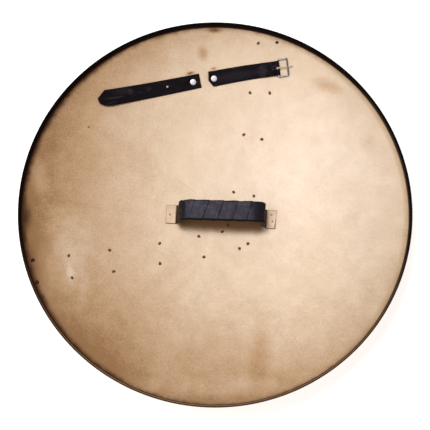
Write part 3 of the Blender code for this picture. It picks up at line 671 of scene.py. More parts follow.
# Stains, with some painted shade and painted highlights among them, as noted
STAINS_AND_PAINTED_LIGHT = (
    # place in metres, size along and across, turn in degrees, strength
    ((0.2408, 0.2715), (0.042, 0.017), -25, 0.30),
    ((-0.0265, 0.3480), (0.012, 0.016), 10, 0.26),
    ((0.3261, 0.1493), (0.018, 0.020), 0, 0.20),
    ((0.0900, -0.3000), (0.022, 0.075), -5, 0.15),
    ((-0.2700, 0.1836), (0.0024, 0.0024), 0, 0.34),
    ((-0.0017, 0.3960), (0.018, 0.006), 0, 0.50),
    # Painted shade of the two dents round the strap's rivets
    ((-0.0540, 0.3068), (0.0095, 0.0038), 12, 0.52),
    ((-0.0035, 0.3172), (0.0070, 0.0032), 8, 0.42),
    # Painted shadow on the sheet seen through the strap's second and third holes and through its slot
    ((-0.1450, 0.2690), (0.0070, 0.0070), 0, 2.2),
    ((-0.1822, 0.2610), (0.0080, 0.0080), 0, 2.4),
    ((0.1310, 0.3135), (0.0080, 0.0060), 8, 2.4),
    ((-0.3930, -0.0170), (0.0130, 0.0300), 2, 0.16),
    ((-0.3800, -0.1080), (0.0150, 0.0550), 17, 0.08),
    ((-0.3080, -0.1050), (0.0500, 0.1000), 0, -0.24),
    ((-0.1100, -0.3600), (0.0900, 0.0300), 0, -0.10),
    ((0.0450, -0.3650), (0.0950, 0.0220), 0, -0.13),
    ((-0.3755, -0.1081), (0.0026, 0.0036), -25, 1.1),
    ((-0.3638, -0.1544), (0.0032, 0.0038), 0, 1.2),
    # A painted highlight
    ((-0.3004, -0.1295), (0.0080, 0.0200), 15, -0.20),
    ((-0.3676, 0.0677), (0.0180, 0.0450), 12, -0.16),
)

brass = Finish("aged_brass_sheet", Specular_IOR_Level=SHEET_GLOSS)
spot = brass.place()
x, y, z = brass.axes(spot)
flat = brass.flattened(spot)
radius = brass.length(flat)
from_palest = brass.distance(flat, PALEST_PLACE)
clouds = brass.noise(spot, CLOUD_SIZE, detail=4)
blotches = brass.noise(spot, BLOTCH_SIZE, detail=4, roughness=0.6)
speckle = brass.noise(spot, SPECKLE_SIZE, detail=4, roughness=0.75)
peel = brass.noise(spot, PEEL_SIZE, detail=2)

# The shield's front is an even tone. The painted highlight, the stains and the painted shade belong to the
# inside
inside = 1 - brass.attribute("front")
# Pale whitish peach at the palest place is a painted highlight; further out the patina browns
age_and_sheen = (from_palest / PALEST_REACH) ** AGE_AND_SHEEN_CURVE * FARTHEST_TONE
age_and_sheen = age_and_sheen * inside + (1 - inside) * FRONT_TONE
tone = age_and_sheen + (clouds - 0.5) * CLOUD_CONTRAST + (blotches - 0.5) * BLOTCH_CONTRAST
tone = tone + (speckle - 0.5) * (SPECKLE_CONTRAST + age_and_sheen * SPECKLE_WITH_AGE_AND_SHEEN)
tone = (tone + radius.rise(*OUTER_ZONE) * OUTER_ZONE_TONE).least(DARKEST_PATINA)
marks = 0.0
for mark_place, mark_size, mark_turn, strength in STAINS_AND_PAINTED_LIGHT:
    local = brass.turned(flat, (*mark_place, 0), math.radians(mark_turn), (*mark_size, 1))
    ragged = brass.length(local) + (blotches - 0.5) * SMUDGE_RAGGEDNESS
    marks = marks + (1 - ragged.rise(0.0, SMUDGE_FADE)) * strength

# A faint straight darker line beside the grip: painted shade of a slight crease that the sheet's shape
# doesn't have
crease_start, crease_end = (Vector(end) for end in CREASE_ENDS)
crease_middle = (crease_start + crease_end) / 2
crease_run = crease_end - crease_start
crease_size = (crease_run.length / 2, CREASE_WIDTH, 1)
crease_turn = math.atan2(crease_run.y, crease_run.x)
crease_space = brass.turned(flat, (*crease_middle, 0), crease_turn, crease_size)
crease_along, crease_across, _ = brass.axes(crease_space)
crease_shade = 1 - (crease_along * crease_along).rise(0.5, 1.0)
crease_shade = crease_shade * (1 - (crease_across * crease_across).rise(0.2, 3.0))
marks = marks + crease_shade * CREASE_SHADE_TONE

# Painted shadow: the sheet just below the grip is browner and darker, where the grip's shadow falls. Grime
# lies in the corner round each foot
grip_space = brass.turned(flat, (*GRIP_CENTRE, 0), GRIP_FEET_TURN)
along, across, _ = brass.axes(grip_space)
beyond_sides = across.maths("ABSOLUTE", across) - STRIP_WIDTH / 2
grime = 0.0
for side, length in FOOT_LENGTHS.items():
    foot_middle = side * (FEET_SPACING + length) / 2
    from_middle = along - foot_middle
    beyond_ends = from_middle.maths("ABSOLUTE", from_middle) - length / 2
    outline = 1 - beyond_ends.most(beyond_sides).rise(*GRIME_REACH)
    grime = outline.most(grime)
under_bar = 1 - (along * along).rise(*((FEET_SPACING * share) ** 2 for share in UNDER_BAR_FADE))
# The painted shadow below the grip: a band under the bar that fades out downwards
painted_grip_shadow = under_bar * (across + blotches * GRIP_SHADOW_RAGGEDNESS).rise(*GRIP_SHADOW_LOWER_EDGE)
painted_grip_shadow = painted_grip_shadow * (1 - across.rise(*GRIP_SHADOW_UPPER_EDGE))
painted_grip_shadow = painted_grip_shadow * inside
tone = tone + marks * inside + painted_grip_shadow * GRIP_SHADOW_TONE

sheet_colour = brass.ramp(tone.clamped(), PATINA_AND_SHEEN_TONES)
# The painted shadow's brown is blended in
sheet_colour = brass.blend(painted_grip_shadow * GRIP_SHADOW_STRENGTH, sheet_colour, GRIP_SHADOW_BROWN)
sheet_colour = brass.blend(grime * inside * (0.35 + blotches * 0.5), sheet_colour, GRIME_BROWN)

# Darker brown round the ends of the pins: a little dirt, and painted shade of their low heads
nearest_pin = RIM_RADIUS
for node in pin_nodes:
    nearest_pin = brass.distance(flat, (*node_middle(node).xy, 0)).least(nearest_pin)
pin_dirt_and_shade = 1 - (nearest_pin + (speckle - 0.5) * PIN_DIRT_AND_SHADE_RAGGEDNESS).rise(*PIN_DIRT_AND_SHADE_REACH)
sheet_colour = brass.blend(pin_dirt_and_shade * inside * PIN_DIRT_AND_SHADE_STRENGTH, sheet_colour, PIN_DIRT_AND_SHADE_BROWN)

# The band beside the wall is yellower at the right. At the left, dark paint has crept over it
leftness = (0 - x / RIM_RADIUS).clamped()
rightness = (x / RIM_RADIUS + 0.4).clamped()
far_right = (x / RIM_RADIUS).rise(*FAR_RIGHT)
sheet_colour = brass.times(sheet_colour, 1 - far_right * FAR_RIGHT_DARKENING)
yellow_band = radius.rise(*YELLOW_BAND) * rightness
sheet_colour = brass.blend(yellow_band * YELLOW_BAND_STRENGTH, sheet_colour, BAND_YELLOW)
creep_clouds = brass.noise(spot, CREPT_CLOUD_SIZE, detail=4)
creep = radius + (creep_clouds - 0.5) * CREPT_RAGGEDNESS + leftness * CREPT_FURTHER_AT_LEFT
crept = creep.rise(*CREPT_REACH) ** CREPT_CURVE * (1 - far_right * 0.7)
sheet_colour = brass.blend(crept * inside, sheet_colour, CREPT_PAINT)

# The wall is painted black. At its foot the paint is thin and reddish
wall = (radius - far_right * 0.0010).rise(WALL_INNER_RADIUS - 0.0022, WALL_INNER_RADIUS - 0.0008)
up_the_wall = (z - BEND_CENTRE[1]).rise(-0.0010, 0.0035)
wall_colour = brass.blend(up_the_wall, THIN_WALL_PAINT, WALL_PAINT)
sheet_colour = brass.blend(wall, sheet_colour, wall_colour)

# The rolled edge is black too. Along the bottom it is painted lighter brown, palest on its inner half:
# painted light, where the roll faces the lights
past_wall = radius.rise(WALL_INNER_RADIUS - 0.0006, WALL_INNER_RADIUS - 0.0002)
roll = z.rise(ROLL_CENTRE[1] - 0.0030, ROLL_CENTRE[1] - 0.0022) * past_wall
downness = (0 - y / RIM_RADIUS).rise(0.1, 1.0)
inner_half = 1 - radius.rise(ROLL_CENTRE[0] - 0.0014, ROLL_CENTRE[0] + 0.0006)
roll_colour = brass.blend(inner_half, ROLL_OUTER_PAINTED_LIGHT, ROLL_INNER_PAINTED_LIGHT)
roll_colour = brass.blend(downness, ROLL_PAINT, roll_colour)
patchy = (brass.noise(spot, PAINT_PATCH_SIZE, detail=4) - 0.5) * 0.9 + 1.0
sheet_colour = brass.blend(roll, sheet_colour, brass.times(roll_colour, patchy))

painted = wall.most(roll)
roughness = SHEET_ROUGHNESS + (blotches - 0.5) * 0.12 + (speckle - 0.5) * 0.15
roughness = roughness + painted * (PAINT_ROUGHNESS - SHEET_ROUGHNESS)
brass.connect(
    Base_Color=sheet_colour,
    Roughness=roughness.clamped(),
    Metallic=(1 - painted) * SHEET_METALLIC,
    Normal=brass.bump(peel * 0.6 + speckle * 0.4, PEEL_DEPTH, under=brass.bump(blotches, BLOTCH_DEPTH)),
)
add_piece("dished_sheet", dish_mesh, brass, "shield", "antique_brass", "shield_dish")

# %% [markdown]
# ## The hand grip's strip
#
# The grip is a flat metal strip bent into a flat-topped arch. Its two feet lie on the sheet and its bends
# are soft, because metal of this thickness can't fold sharply. The line through the strip's middle is
# worked out first, as distances along the grip and heights above the sheet. Each station on it gets a
# frame: X along the line, Y across the strip, Z out of its face. A rounded slab is then swept through.

# %% The grip's line
GRIP_BAR_TURN = math.radians(-1.7)
GRIP_BAR_SHIFT = (0.0010, 0.0013)
STRIP_THICKNESS = 0.0025
STRIP_EDGE_ROUNDING = 0.0006
RIGHT_FOOT_SKEW = 0.0026
FOOT_BEND_RADIUS = 0.003
BAR_LENGTH = 0.1750
BAR_HEIGHT = 0.0600
WRAPPED_RISER_LEAN = 0.0010
SHOULDERS = {-1: (0.027, 0.022), 1: (0.021, 0.012)}
WRAP_END_HEIGHT = 0.017
FOOT_MIDDLE = FIT_GAP + STRIP_THICKNESS / 2
BEND_STEPS = 8
SHOULDER_STEPS = 40
STRIP_SPACING = 0.004
SLAB_CORNER_STEPS = 4


def grip_point(along, across, height):
    """A point of the grip. The feet are turned a little more than the bar, and the riser joins the two."""
    share = (height - FOOT_MIDDLE) / (BAR_HEIGHT - FOOT_MIDDLE)
    turn = GRIP_FEET_TURN + share * (GRIP_BAR_TURN - GRIP_FEET_TURN)
    px = GRIP_CENTRE[0] + share * GRIP_BAR_SHIFT[0] + along * math.cos(turn) - across * math.sin(turn)
    py = GRIP_CENTRE[1] + share * GRIP_BAR_SHIFT[1] + along * math.sin(turn) + across * math.cos(turn)
    base = (1 - share) * sheet_height(px, py) + share * SHEET_THICKNESS
    return Vector((px, py, base + height))


def riser_point(side, height):
    """Where a riser stands at this height. It leans in from the foot's bend to the bar's end."""
    leather_edge = BAR_LENGTH / 2 + WRAPPED_RISER_LEAN
    share = (height - FOOT_MIDDLE) / (WRAP_END_HEIGHT - FOOT_MIDDLE)
    return (side * (FEET_SPACING / 2 + share * (leather_edge - FEET_SPACING / 2)), height)


def shoulder_points(side):
    """The rounded corner from a riser's top to where the bar is level."""
    run, drop = SHOULDERS[side]
    points = []
    for step in range(SHOULDER_STEPS + 1):
        angle = math.pi / 2 * (1 - step / SHOULDER_STEPS)
        along = side * (BAR_LENGTH / 2 - run * (1 - math.sin(angle)))
        points.append((along, BAR_HEIGHT - drop * (1 - math.cos(angle))))
    return points


def foot_points(side):
    """A foot from its end, round its bend, to the riser's bare lower end."""
    bend = FEET_SPACING / 2
    flat_part = evenly(bend + FOOT_LENGTHS[side], bend + FOOT_BEND_RADIUS, STRIP_SPACING)
    points = [(side * along, FOOT_MIDDLE) for along in flat_part]
    centre = (bend + FOOT_BEND_RADIUS, FOOT_MIDDLE + FOOT_BEND_RADIUS)
    for along, height in arc(centre, FOOT_BEND_RADIUS, 0, -math.pi / 2, BEND_STEPS)[1:]:
        round_bend = (centre[0] - along) / FOOT_BEND_RADIUS
        leaning_in = abs(riser_point(1, height)[0] - bend) * round_bend
        points.append((side * (along - leaning_in), height))
    return points


def wrapped_points():
    """The line under the leather, from one riser over the bar to the other."""
    left = [riser_point(-1, WRAP_END_HEIGHT)] + shoulder_points(-1)
    right = [riser_point(1, WRAP_END_HEIGHT)] + shoulder_points(1)
    bar = [(along, BAR_HEIGHT) for along in evenly(left[-1][0], right[-1][0], STRIP_SPACING)]
    return left + bar[1:-1] + right[::-1]


def resampled(points, spacing):
    """The same line with its points this far apart."""
    lengths = [0.0]
    for before, after in zip(points, points[1:]):
        lengths.append(lengths[-1] + math.dist(before, after))
    made = []
    at = 0
    for length in evenly(0, lengths[-1], spacing):
        while at < len(points) - 2 and lengths[at + 1] < length:
            at += 1
        share = (length - lengths[at]) / (lengths[at + 1] - lengths[at])
        made.append(tuple(a + (b - a) * share for a, b in zip(points[at], points[at + 1])))
    return made


def grip_stations(line):
    """A frame at each point of a grip line: X along it, Y across the strip, Z out of its face."""
    middles = [grip_point(along, 0, height) for along, height in line]
    stations = []
    for at, (along, height) in enumerate(line):
        tangent = (middles[min(at + 1, len(line) - 1)] - middles[max(at - 1, 0)]).normalized()
        sideways = grip_point(along, 1, height) - grip_point(along, -1, height)
        across = (sideways - sideways.dot(tangent) * tangent).normalized()
        stations.append(frame_at(middles[at], tangent, across))
    return stations


def slab(left, right, low, high, rounding, columns=1):
    """A rounded slab's section as (across, height, cut) points; cut rises from 0 to 1 over its edges."""
    inner_left, inner_right = left + rounding, right - rounding
    inner_low, inner_high = low + rounding, high - rounding
    corners = [(inner_right, inner_high, math.pi), (inner_right, inner_low, math.pi / 2),
               (inner_left, inner_low, 0), (inner_left, inner_high, -math.pi / 2)]
    section = []
    for number, (across, height, start) in enumerate(corners):
        corner = arc((across, height), rounding, start, start - math.pi / 2, SLAB_CORNER_STEPS)
        section += [(side, level, abs(side - across) / rounding) for side, level in corner]
        if number in (1, 3) and columns > 1:
            end_across = corners[(number + 1) % 4][0]
            level = section[-1][1]
            for step in range(1, columns):
                section.append((across + (end_across - across) * step / columns, level, 0.0))
    return section


def placed(station, section):
    """The section's points, carried to a station on the line."""
    return [station @ Vector((0, across, height)) for across, height, _ in section]


def set_mark(shape, mark, rings, values):
    """Writes one mark on the vertices of a sweep, ring by ring."""
    layer = shape.verts.layers.float[mark]
    for ring, ring_values in zip(rings, values):
        for vertex, value in zip(ring, ring_values):
            vertex[layer] = value


strip_line = foot_points(-1) + resampled(wrapped_points(), STRIP_SPACING) + foot_points(1)[::-1]
strip_section = slab(-STRIP_WIDTH / 2, STRIP_WIDTH / 2, -STRIP_THICKNESS / 2, STRIP_THICKNESS / 2,
                     STRIP_EDGE_ROUNDING)
strip_shape = new_shape("cut")
strip_rings = sweep(strip_shape, [placed(station, strip_section) for station in grip_stations(strip_line)])
for vertex in strip_rings[-1]:
    across = (vertex.co - grip_point(strip_line[-1][0], 0, FOOT_MIDDLE)).y
    vertex.co.x += RIGHT_FOOT_SKEW * across / (STRIP_WIDTH / 2)
set_mark(strip_shape, "cut", strip_rings, [[cut for _, _, cut in strip_section]] * len(strip_rings))
strip_mesh = to_mesh("strip", strip_shape)
print("strip stations", len(strip_line))

# %% [markdown]
# ## The strip's finish
#
# The feet are the same brass tone as the sheet, with dark grime along their edges. Above the bend the
# risers are painted dark brown: painted shade and the dark reflection of their surroundings. A mask on
# height turns one colour into the other, and the mark on the cut edges draws the thin dark outline that
# shows round each foot.

# %% Strip finish
FOOT_PALE = (0.84, 0.64, 0.47)
FOOT_TAN = (0.62, 0.43, 0.29)
# Painted shade and dark reflection of the risers
RISER_SHADE_DARK = (0.022, 0.006, 0.0015)
RISER_SHADE_BROWN = (0.105, 0.040, 0.012)
EDGE_GRIME = (0.075, 0.036, 0.020)
STRIP_GLOSS = 0.04
STRIP_ROUGHNESS = 0.42
STRIP_MOTTLE_SIZE = 0.008
STRIP_SPECKLE_SIZE = 0.0026
STRIP_SPECKLE_DEPTH = 0.00015
RISER_FOOT = (0.0034, 0.0050)
RISER_FOOT_RAGGEDNESS = 0.0012

strip_finish = Finish("grip_strip_brass", Metallic=SHEET_METALLIC, Specular_IOR_Level=STRIP_GLOSS)
spot = strip_finish.place()
_, _, z = strip_finish.axes(spot)
mottle = strip_finish.noise(spot, STRIP_MOTTLE_SIZE, detail=4)
speckle = strip_finish.noise(spot, STRIP_SPECKLE_SIZE, detail=3, roughness=0.7)
foot_colour = strip_finish.blend(mottle, FOOT_PALE, FOOT_TAN)
# The risers' dark brown is painted shade and dark reflection
riser_shade_colour = strip_finish.blend(mottle, RISER_SHADE_DARK, RISER_SHADE_BROWN)
# Near the middle, the dome rises by its distance squared over twice its radius
from_flat_spot = strip_finish.length(strip_finish.flattened(spot)) - FLAT_SPOT_RADIUS
above_sheet = z - SHEET_THICKNESS - from_flat_spot * from_flat_spot / (2 * DOME_RADIUS)
riser_shade_mask = (above_sheet + (mottle - 0.5) * RISER_FOOT_RAGGEDNESS).rise(*RISER_FOOT)
edge_mask = (strip_finish.attribute("cut") + (speckle - 0.5) * 0.5).rise(0.25, 0.80)
strip_colour = strip_finish.blend(edge_mask * 0.85, foot_colour, EDGE_GRIME)
strip_colour = strip_finish.blend(riser_shade_mask, strip_colour, riser_shade_colour)
strip_finish.connect(
    Base_Color=strip_colour,
    Roughness=STRIP_ROUGHNESS + (speckle - 0.5) * 0.2,
    Normal=strip_finish.bump(speckle, STRIP_SPECKLE_DEPTH),
)
add_piece("grip_strip_metal", strip_mesh, strip_finish, "shield", "antique_brass", "grip_strip")

# %% [markdown]
# ## The leather wound round the grip
#
# A long strip of thin black leather is wound round the bar in a slanting spiral, each turn lapping over
# the last one. The seams that this leaves are real steps, so they are modelled and not painted. A tube is
# swept round the strip in fine rings. Then each of its vertices is pushed outwards by its place in the
# spiral: highest at the lapping edge, sinking towards the next turn, and dropping there in one sharp step.

# %% Wrapped grip mesh
LEATHER_ON_GRIP = 0.0022
LEATHER_ROUND_EDGE = 0.0017
WRAP_SPACING = 0.0007
WRAP_PITCH = 0.0300
WRAP_LAP = 0.0008
WRAP_LAP_EDGE = 0.022
WRAP_CORNER_ROUNDING = 0.0032
WRAP_WRINKLE = 0.00028
WRAP_WRINKLE_SIZES = (0.009, 0.022, 0.004)
WRAP_CLIMB = (0.05, 0.75)
WRAP_SEAM = (0.90, 0.985)
WRAP_CUT_END = (0.0004, 0.0022)
WRAP_SIDE = (0.84, 0.95)
WRAP_SIDE_REACH_BELOW = 1.09
WRAP_TUCK = 0.0009
WRAP_TUCK_LENGTH = 0.0035
WRAP_START = 0.90
WRAP_SLANT = -1.0
WRAP_SIDE_STEPS = 9
WRAP_TOP_STEPS = 26
WRAP_TUNNEL_ROWS = 6


def rounded_ring(half_width, half_height, rounding):
    """A rounded rectangle's ring as (across, height, turn) with turn from 0 to 1 round the section."""
    points = []
    corners = [(1, 1, math.pi), (1, -1, math.pi / 2), (-1, -1, 0), (-1, 1, -math.pi / 2)]
    for number, (side, level, start) in enumerate(corners):
        centre = (side * (half_width - rounding), level * (half_height - rounding))
        points += arc(centre, rounding, start, start - math.pi / 2, WRAP_SIDE_STEPS)
        if number in (1, 3):
            for step in range(1, WRAP_TOP_STEPS):
                points.append((centre[0] * (1 - 2 * step / WRAP_TOP_STEPS), level * half_height))
    lengths = [0.0]
    for before, after in zip(points, points[1:] + points[:1]):
        lengths.append(lengths[-1] + math.dist(before, after))
    return [(across, height, length / lengths[-1]) for (across, height), length in zip(points, lengths)]


def smooth_step(low, high, value):
    """0 below the low value, 1 above the high one, and a soft step between them."""
    share = min(1, max(0, (value - low) / (high - low)))
    return share * share * (3 - 2 * share)


def lap_height(phase):
    """The leather's height over one turn: it climbs over the last turn's edge and ends in a sharp step."""
    climb = smooth_step(*WRAP_CLIMB, phase)
    drop = smooth_step(1 - WRAP_LAP_EDGE, 1, phase)
    return WRAP_LAP * climb * (1 - drop)


def wrap_phase(length, turn):
    """How far round its turn of the spiral this point is, from 0 to 1."""
    return (length / WRAP_PITCH + WRAP_SLANT * turn + WRAP_START) % 1.0


wrap_line = resampled(wrapped_points(), WRAP_SPACING)
wrap_stations = grip_stations(wrap_line)
outer_half_width = STRIP_WIDTH / 2 + FIT_GAP + LEATHER_ROUND_EDGE
outer_half_height = STRIP_THICKNESS / 2 + FIT_GAP + LEATHER_ON_GRIP
wrap_section = rounded_ring(outer_half_width, outer_half_height, WRAP_CORNER_ROUNDING)
tunnel_section = rounded_ring(STRIP_WIDTH / 2 + FIT_GAP, STRIP_THICKNESS / 2 + FIT_GAP, STRIP_EDGE_ROUNDING)
wrap_length = math.fsum(math.dist(a, b) for a, b in zip(wrap_line, wrap_line[1:]))


def wrap_ring(at, station):
    """One ring of the sleeve, pushed in or out by the spiral, by wrinkles and by its tucked ends."""
    length = wrap_length * at / (len(wrap_stations) - 1)
    ring = []
    for across, height, turn in wrap_section:
        outward = Vector((0, across / outer_half_width * 0.6, height / outer_half_height)).normalized()
        raised = lap_height(wrap_phase(length, turn)) - WRAP_LAP * 0.5
        at_wrinkles = Vector(a / b for a, b in zip((length, across, height), WRAP_WRINKLE_SIZES))
        wrinkle = noise.noise(at_wrinkles) * WRAP_WRINKLE
        from_end = min(length, wrap_length - length)
        tucked = WRAP_TUCK * (1 - smooth_step(0, WRAP_TUCK_LENGTH, from_end))
        ring.append(station @ (Vector((0, across, height)) + (raised + wrinkle - tucked) * outward))
    return ring


wrap_shape = new_shape("cut", "seam", "along", "side")
outside_rings = [wrap_ring(at, station) for at, station in enumerate(wrap_stations)]
tunnel_stations = wrap_stations[:: -(len(wrap_stations) // WRAP_TUNNEL_ROWS)]
tunnel_stations = [wrap_stations[-1]] + tunnel_stations[1:] + [wrap_stations[0]]
tunnel_rings = [[station @ Vector((0, across, height)) for across, height, _ in tunnel_section]
                for station in tunnel_stations]
wrap_rings = sweep(wrap_shape, outside_rings + tunnel_rings, closed=True)
count = len(outside_rings)
lengths = [wrap_length * at / (count - 1) for at in range(count)]
seams = [[smooth_step(*WRAP_SEAM, wrap_phase(length, turn)) for _, _, turn in wrap_section]
         for length in lengths]
cuts = [[1 - smooth_step(*WRAP_CUT_END, min(length, wrap_length - length))] * len(wrap_section)
        for length in lengths]
along_values = [[length / wrap_length] * len(wrap_section) for length in lengths]
# The side mark: where the wrap's two sides get painted shade
sides = [[smooth_step(*WRAP_SIDE, max(across, -WRAP_SIDE_REACH_BELOW * across) / outer_half_width)
          for across, _, _ in wrap_section]] * count
set_mark(wrap_shape, "seam", wrap_rings[:count], seams)
set_mark(wrap_shape, "cut", wrap_rings[:count], cuts)
set_mark(wrap_shape, "along", wrap_rings[:count], along_values)
set_mark(wrap_shape, "side", wrap_rings[:count], sides)
wrap_mesh = to_mesh("wrap", wrap_shape)
print("wrapped length", round(wrap_length, 4), "turns", round(wrap_length / WRAP_PITCH, 1))

# %% [markdown]
# ## Black leather
#
# Two leathers share one recipe. It is nearly black with a purple cast, and it has a fine pebbled grain,
# which is a cell pattern in the bump, with soft creases over it. Where a hand or a buckle has rubbed, the
# surface is greyer and smoother. A cut edge shows the undyed, reddish-brown inside of the hide. The recipe
# is a function, so that the grip and the strap differ in a few values only.

# %% Leather finishes
GRAIN_SIZE = 0.0011
PORE_SIZE = 0.0009
GRAIN_DEPTH = 0.00016
CREASE_DEPTH = 0.0005
RUBBED_FADE = 0.22
GRIP_BLACK = (0.038, 0.031, 0.048)
GRIP_RUBBED = (0.092, 0.080, 0.122)
GRIP_CUT_EDGE = (0.17, 0.085, 0.045)
GRIP_CREASE_SIZE = 0.014
SEAM_CLOUD_SIZE = 0.022
DARK_LEFT_END = (0.175, 0.195)
DARK_RIGHT_END = (0.72, 0.75)
STRAP_BLACK = (0.0050, 0.0028, 0.0046)
STRAP_RUBBED = (0.026, 0.020, 0.028)
STRAP_CUT_EDGE = (0.20, 0.060, 0.030)
STRAP_CREASE_SIZE = 0.010
SCUFF_CLOUD_SIZE = 0.006
STRAP_HEADING = math.radians(10)
STRAP_CREASE_STRETCH = 2.8
STRAP_SCUFFS = (
    # place in metres, size along and across, turn in degrees, strength, colour
    ((0.1270, 0.3140), (0.0062, 0.0058), 8, 0.9, (0.048, 0.031, 0.030)),
    ((0.1020, 0.3100), (0.0110, 0.0130), 8, 0.7, (0.034, 0.028, 0.037)),
    ((0.0450, 0.3010), (0.0500, 0.0100), 8, 0.5, (0.030, 0.023, 0.031)),
    ((-0.2130, 0.2480), (0.0200, 0.0022), 12, 0.6, (0.045, 0.037, 0.047)),
    ((-0.1990, 0.2630), (0.0230, 0.0090), 12, 0.35, (0.034, 0.028, 0.037)),
    ((-0.1822, 0.2620), (0.0062, 0.0058), 12, 0.8, (0.040, 0.032, 0.036)),
)


def leather(name, dark, worn, worn_size, worn_low, roughness, gloss, edge_colour, turn=0.0, size=(1, 1, 1)):
    """Returns the finish and its colour, for a last few touches."""
    finish = Finish(name, Specular_IOR_Level=gloss)
    spot = finish.place()
    turned_spot = finish.turned(spot, turn=turn, size=size)
    grain = finish.cells(spot, GRAIN_SIZE)
    pores = finish.noise(spot, PORE_SIZE, detail=3, roughness=0.7)
    creases = finish.noise(turned_spot, worn_size, detail=5, roughness=0.62, distortion=0.6)
    fine = finish.noise(turned_spot, worn_size / 4, detail=4, roughness=0.7)
    rubbed = (creases * 0.7 + fine * 0.3).rise(worn_low, worn_low + RUBBED_FADE)
    colour = finish.blend(rubbed * 0.8, dark, worn)
    edge = (finish.attribute("cut") + (pores - 0.5) * 0.3).rise(0.45, 0.9)
    colour = finish.blend(edge, colour, edge_colour)
    creased = finish.bump(creases, CREASE_DEPTH)
    bumped = finish.bump(grain * 0.6 + pores * 0.4, GRAIN_DEPTH, under=creased)
    rough = roughness + (fine - 0.5) * 0.25 - rubbed * 0.08
    finish.connect(Base_Color=colour, Roughness=rough.clamped(), Normal=bumped)
    return finish, colour


grip_leather, wrap_colour = leather(
    "grip_leather", dark=GRIP_BLACK, worn=GRIP_RUBBED, worn_size=GRIP_CREASE_SIZE,
    worn_low=0.45, roughness=0.46, gloss=0.16, edge_colour=GRIP_CUT_EDGE)
seam = grip_leather.attribute("seam")
along = grip_leather.attribute("along")
seam_strength = grip_leather.noise(grip_leather.place(), SEAM_CLOUD_SIZE, detail=2).rise(0.30, 0.62)
seam_strength = seam_strength * along.rise(0.24, 0.34)
# Darker along the seams; painted shade along the wrap's two sides and at both bent ends, where it turns
# away from the light
seams_and_painted_shade = (seam * seam_strength * 0.8).most(grip_leather.attribute("side") * 0.94)
seams_and_painted_shade = seams_and_painted_shade.most(along.rise(*DARK_RIGHT_END) * 0.72)
seams_and_painted_shade = seams_and_painted_shade.most((1 - along.rise(*DARK_LEFT_END)) * 0.60)
grip_leather.connect(Base_Color=grip_leather.times(wrap_colour, 1 - seams_and_painted_shade))

strap_leather, strap_colour = leather(
    "strap_leather", dark=STRAP_BLACK, worn=STRAP_RUBBED, worn_size=STRAP_CREASE_SIZE,
    worn_low=0.50, roughness=0.50, gloss=0.06, edge_colour=STRAP_CUT_EDGE,
    turn=STRAP_HEADING, size=(STRAP_CREASE_STRETCH, 1, 1))
strap_spot = strap_leather.flattened(strap_leather.place())
scuff_ragged = strap_leather.noise(strap_spot, SCUFF_CLOUD_SIZE, detail=4) - 0.5
for scuff_place, scuff_size, scuff_turn, strength, scuff_colour in STRAP_SCUFFS:
    local = strap_leather.turned(strap_spot, (*scuff_place, 0), math.radians(scuff_turn), (*scuff_size, 1))
    scuff = 1 - (strap_leather.length(local) + scuff_ragged * 1.1).rise(0.3, 1.3)
    strap_colour = strap_leather.blend(scuff * strength, strap_colour, scuff_colour)
strap_leather.connect(Base_Color=strap_colour)
add_piece("wrapped_grip_leather", wrap_mesh, grip_leather, "shield", "black_leather", "grip_wrap")

# %% [markdown]
# ## The pointed half of the arm strap
#
# Each half of the strap is a flat piece of leather cut by hand: slightly bowed sides, one corner of the
# tip cut off straight and the other rounded. Its outline is two functions of the distance along it, and a
# slab is swept between them. Because the section knows which points lie on the cut edge, the edge can be
# rounded and coloured for its whole length. The three punched holes are taken out with a Boolean.

# %% Pointed half mesh
LEATHER_THICKNESS = 0.0020
LEATHER_REST = FIT_GAP + LEATHER_THICKNESS / 2
LEATHER_EDGE_ROUNDING = 0.0005
STRAP_SPACING = 0.0025
STRAP_COLUMNS = 14
TIP_HALF_TURN = math.radians(192.0)
TIP_HALF_BACK = 0.0160
TIP_HALF_LENGTH = 0.2090
TIP_HALF_WIDTH_AT_RIVET = 0.0314
TIP_HALF_WIDTH_AT_TIP = 0.0364
TIP_SIDE_BOW = 0.0028
TIP_CHAMFER_LENGTH = 0.0175
TIP_ROUND_LENGTH = 0.0290
TIP_NOSE_WIDTH = 0.0040
TIP_NOSE_OFFSET = 0.0018
TIP_LIFT = 0.0050
TIP_LIFT_START = 0.100
TIP_END_SPACING = 0.0010
STRAP_HOLE_PLACES = (0.0570, 0.0990, 0.1370)
STRAP_HOLE_OFFSET = 0.0012
STRAP_HOLE_RADIUS = 0.0024
HOLE_STEPS = 32
CUTTER_DEPTH = 0.020
LEATHER_WAVE = 0.00022
WAVE_LENGTH = 0.028
RIPPLE_LENGTH = 0.011
END_EASE = 0.0006


def strap_place(rivet_place, turn, along, height):
    """A frame on the sheet at this distance from a strap's rivet: X along the strap, Y across it."""
    px = rivet_place[0] + along * math.cos(turn)
    py = rivet_place[1] + along * math.sin(turn)
    return sheet_place(px, py, turn=turn, height=height)


def tip_half_edges(along):
    """The two edges of the pointed half: one corner is cut off straight, the other is rounded."""
    share = along / TIP_HALF_LENGTH
    half = (TIP_HALF_WIDTH_AT_RIVET + share * (TIP_HALF_WIDTH_AT_TIP - TIP_HALF_WIDTH_AT_RIVET)) / 2
    bow = TIP_SIDE_BOW * share ** 2
    to_point = TIP_HALF_LENGTH - along
    cut_off = min(1, to_point / TIP_CHAMFER_LENGTH)
    rounded = math.sqrt(1 - (1 - min(1, to_point / TIP_ROUND_LENGTH)) ** 2)
    upper_nose = TIP_NOSE_OFFSET - TIP_NOSE_WIDTH / 2
    lower_nose = TIP_NOSE_OFFSET + TIP_NOSE_WIDTH / 2
    upper = upper_nose + cut_off * (bow - half - upper_nose)
    lower = lower_nose + rounded * (bow + half - lower_nose)
    return upper, lower


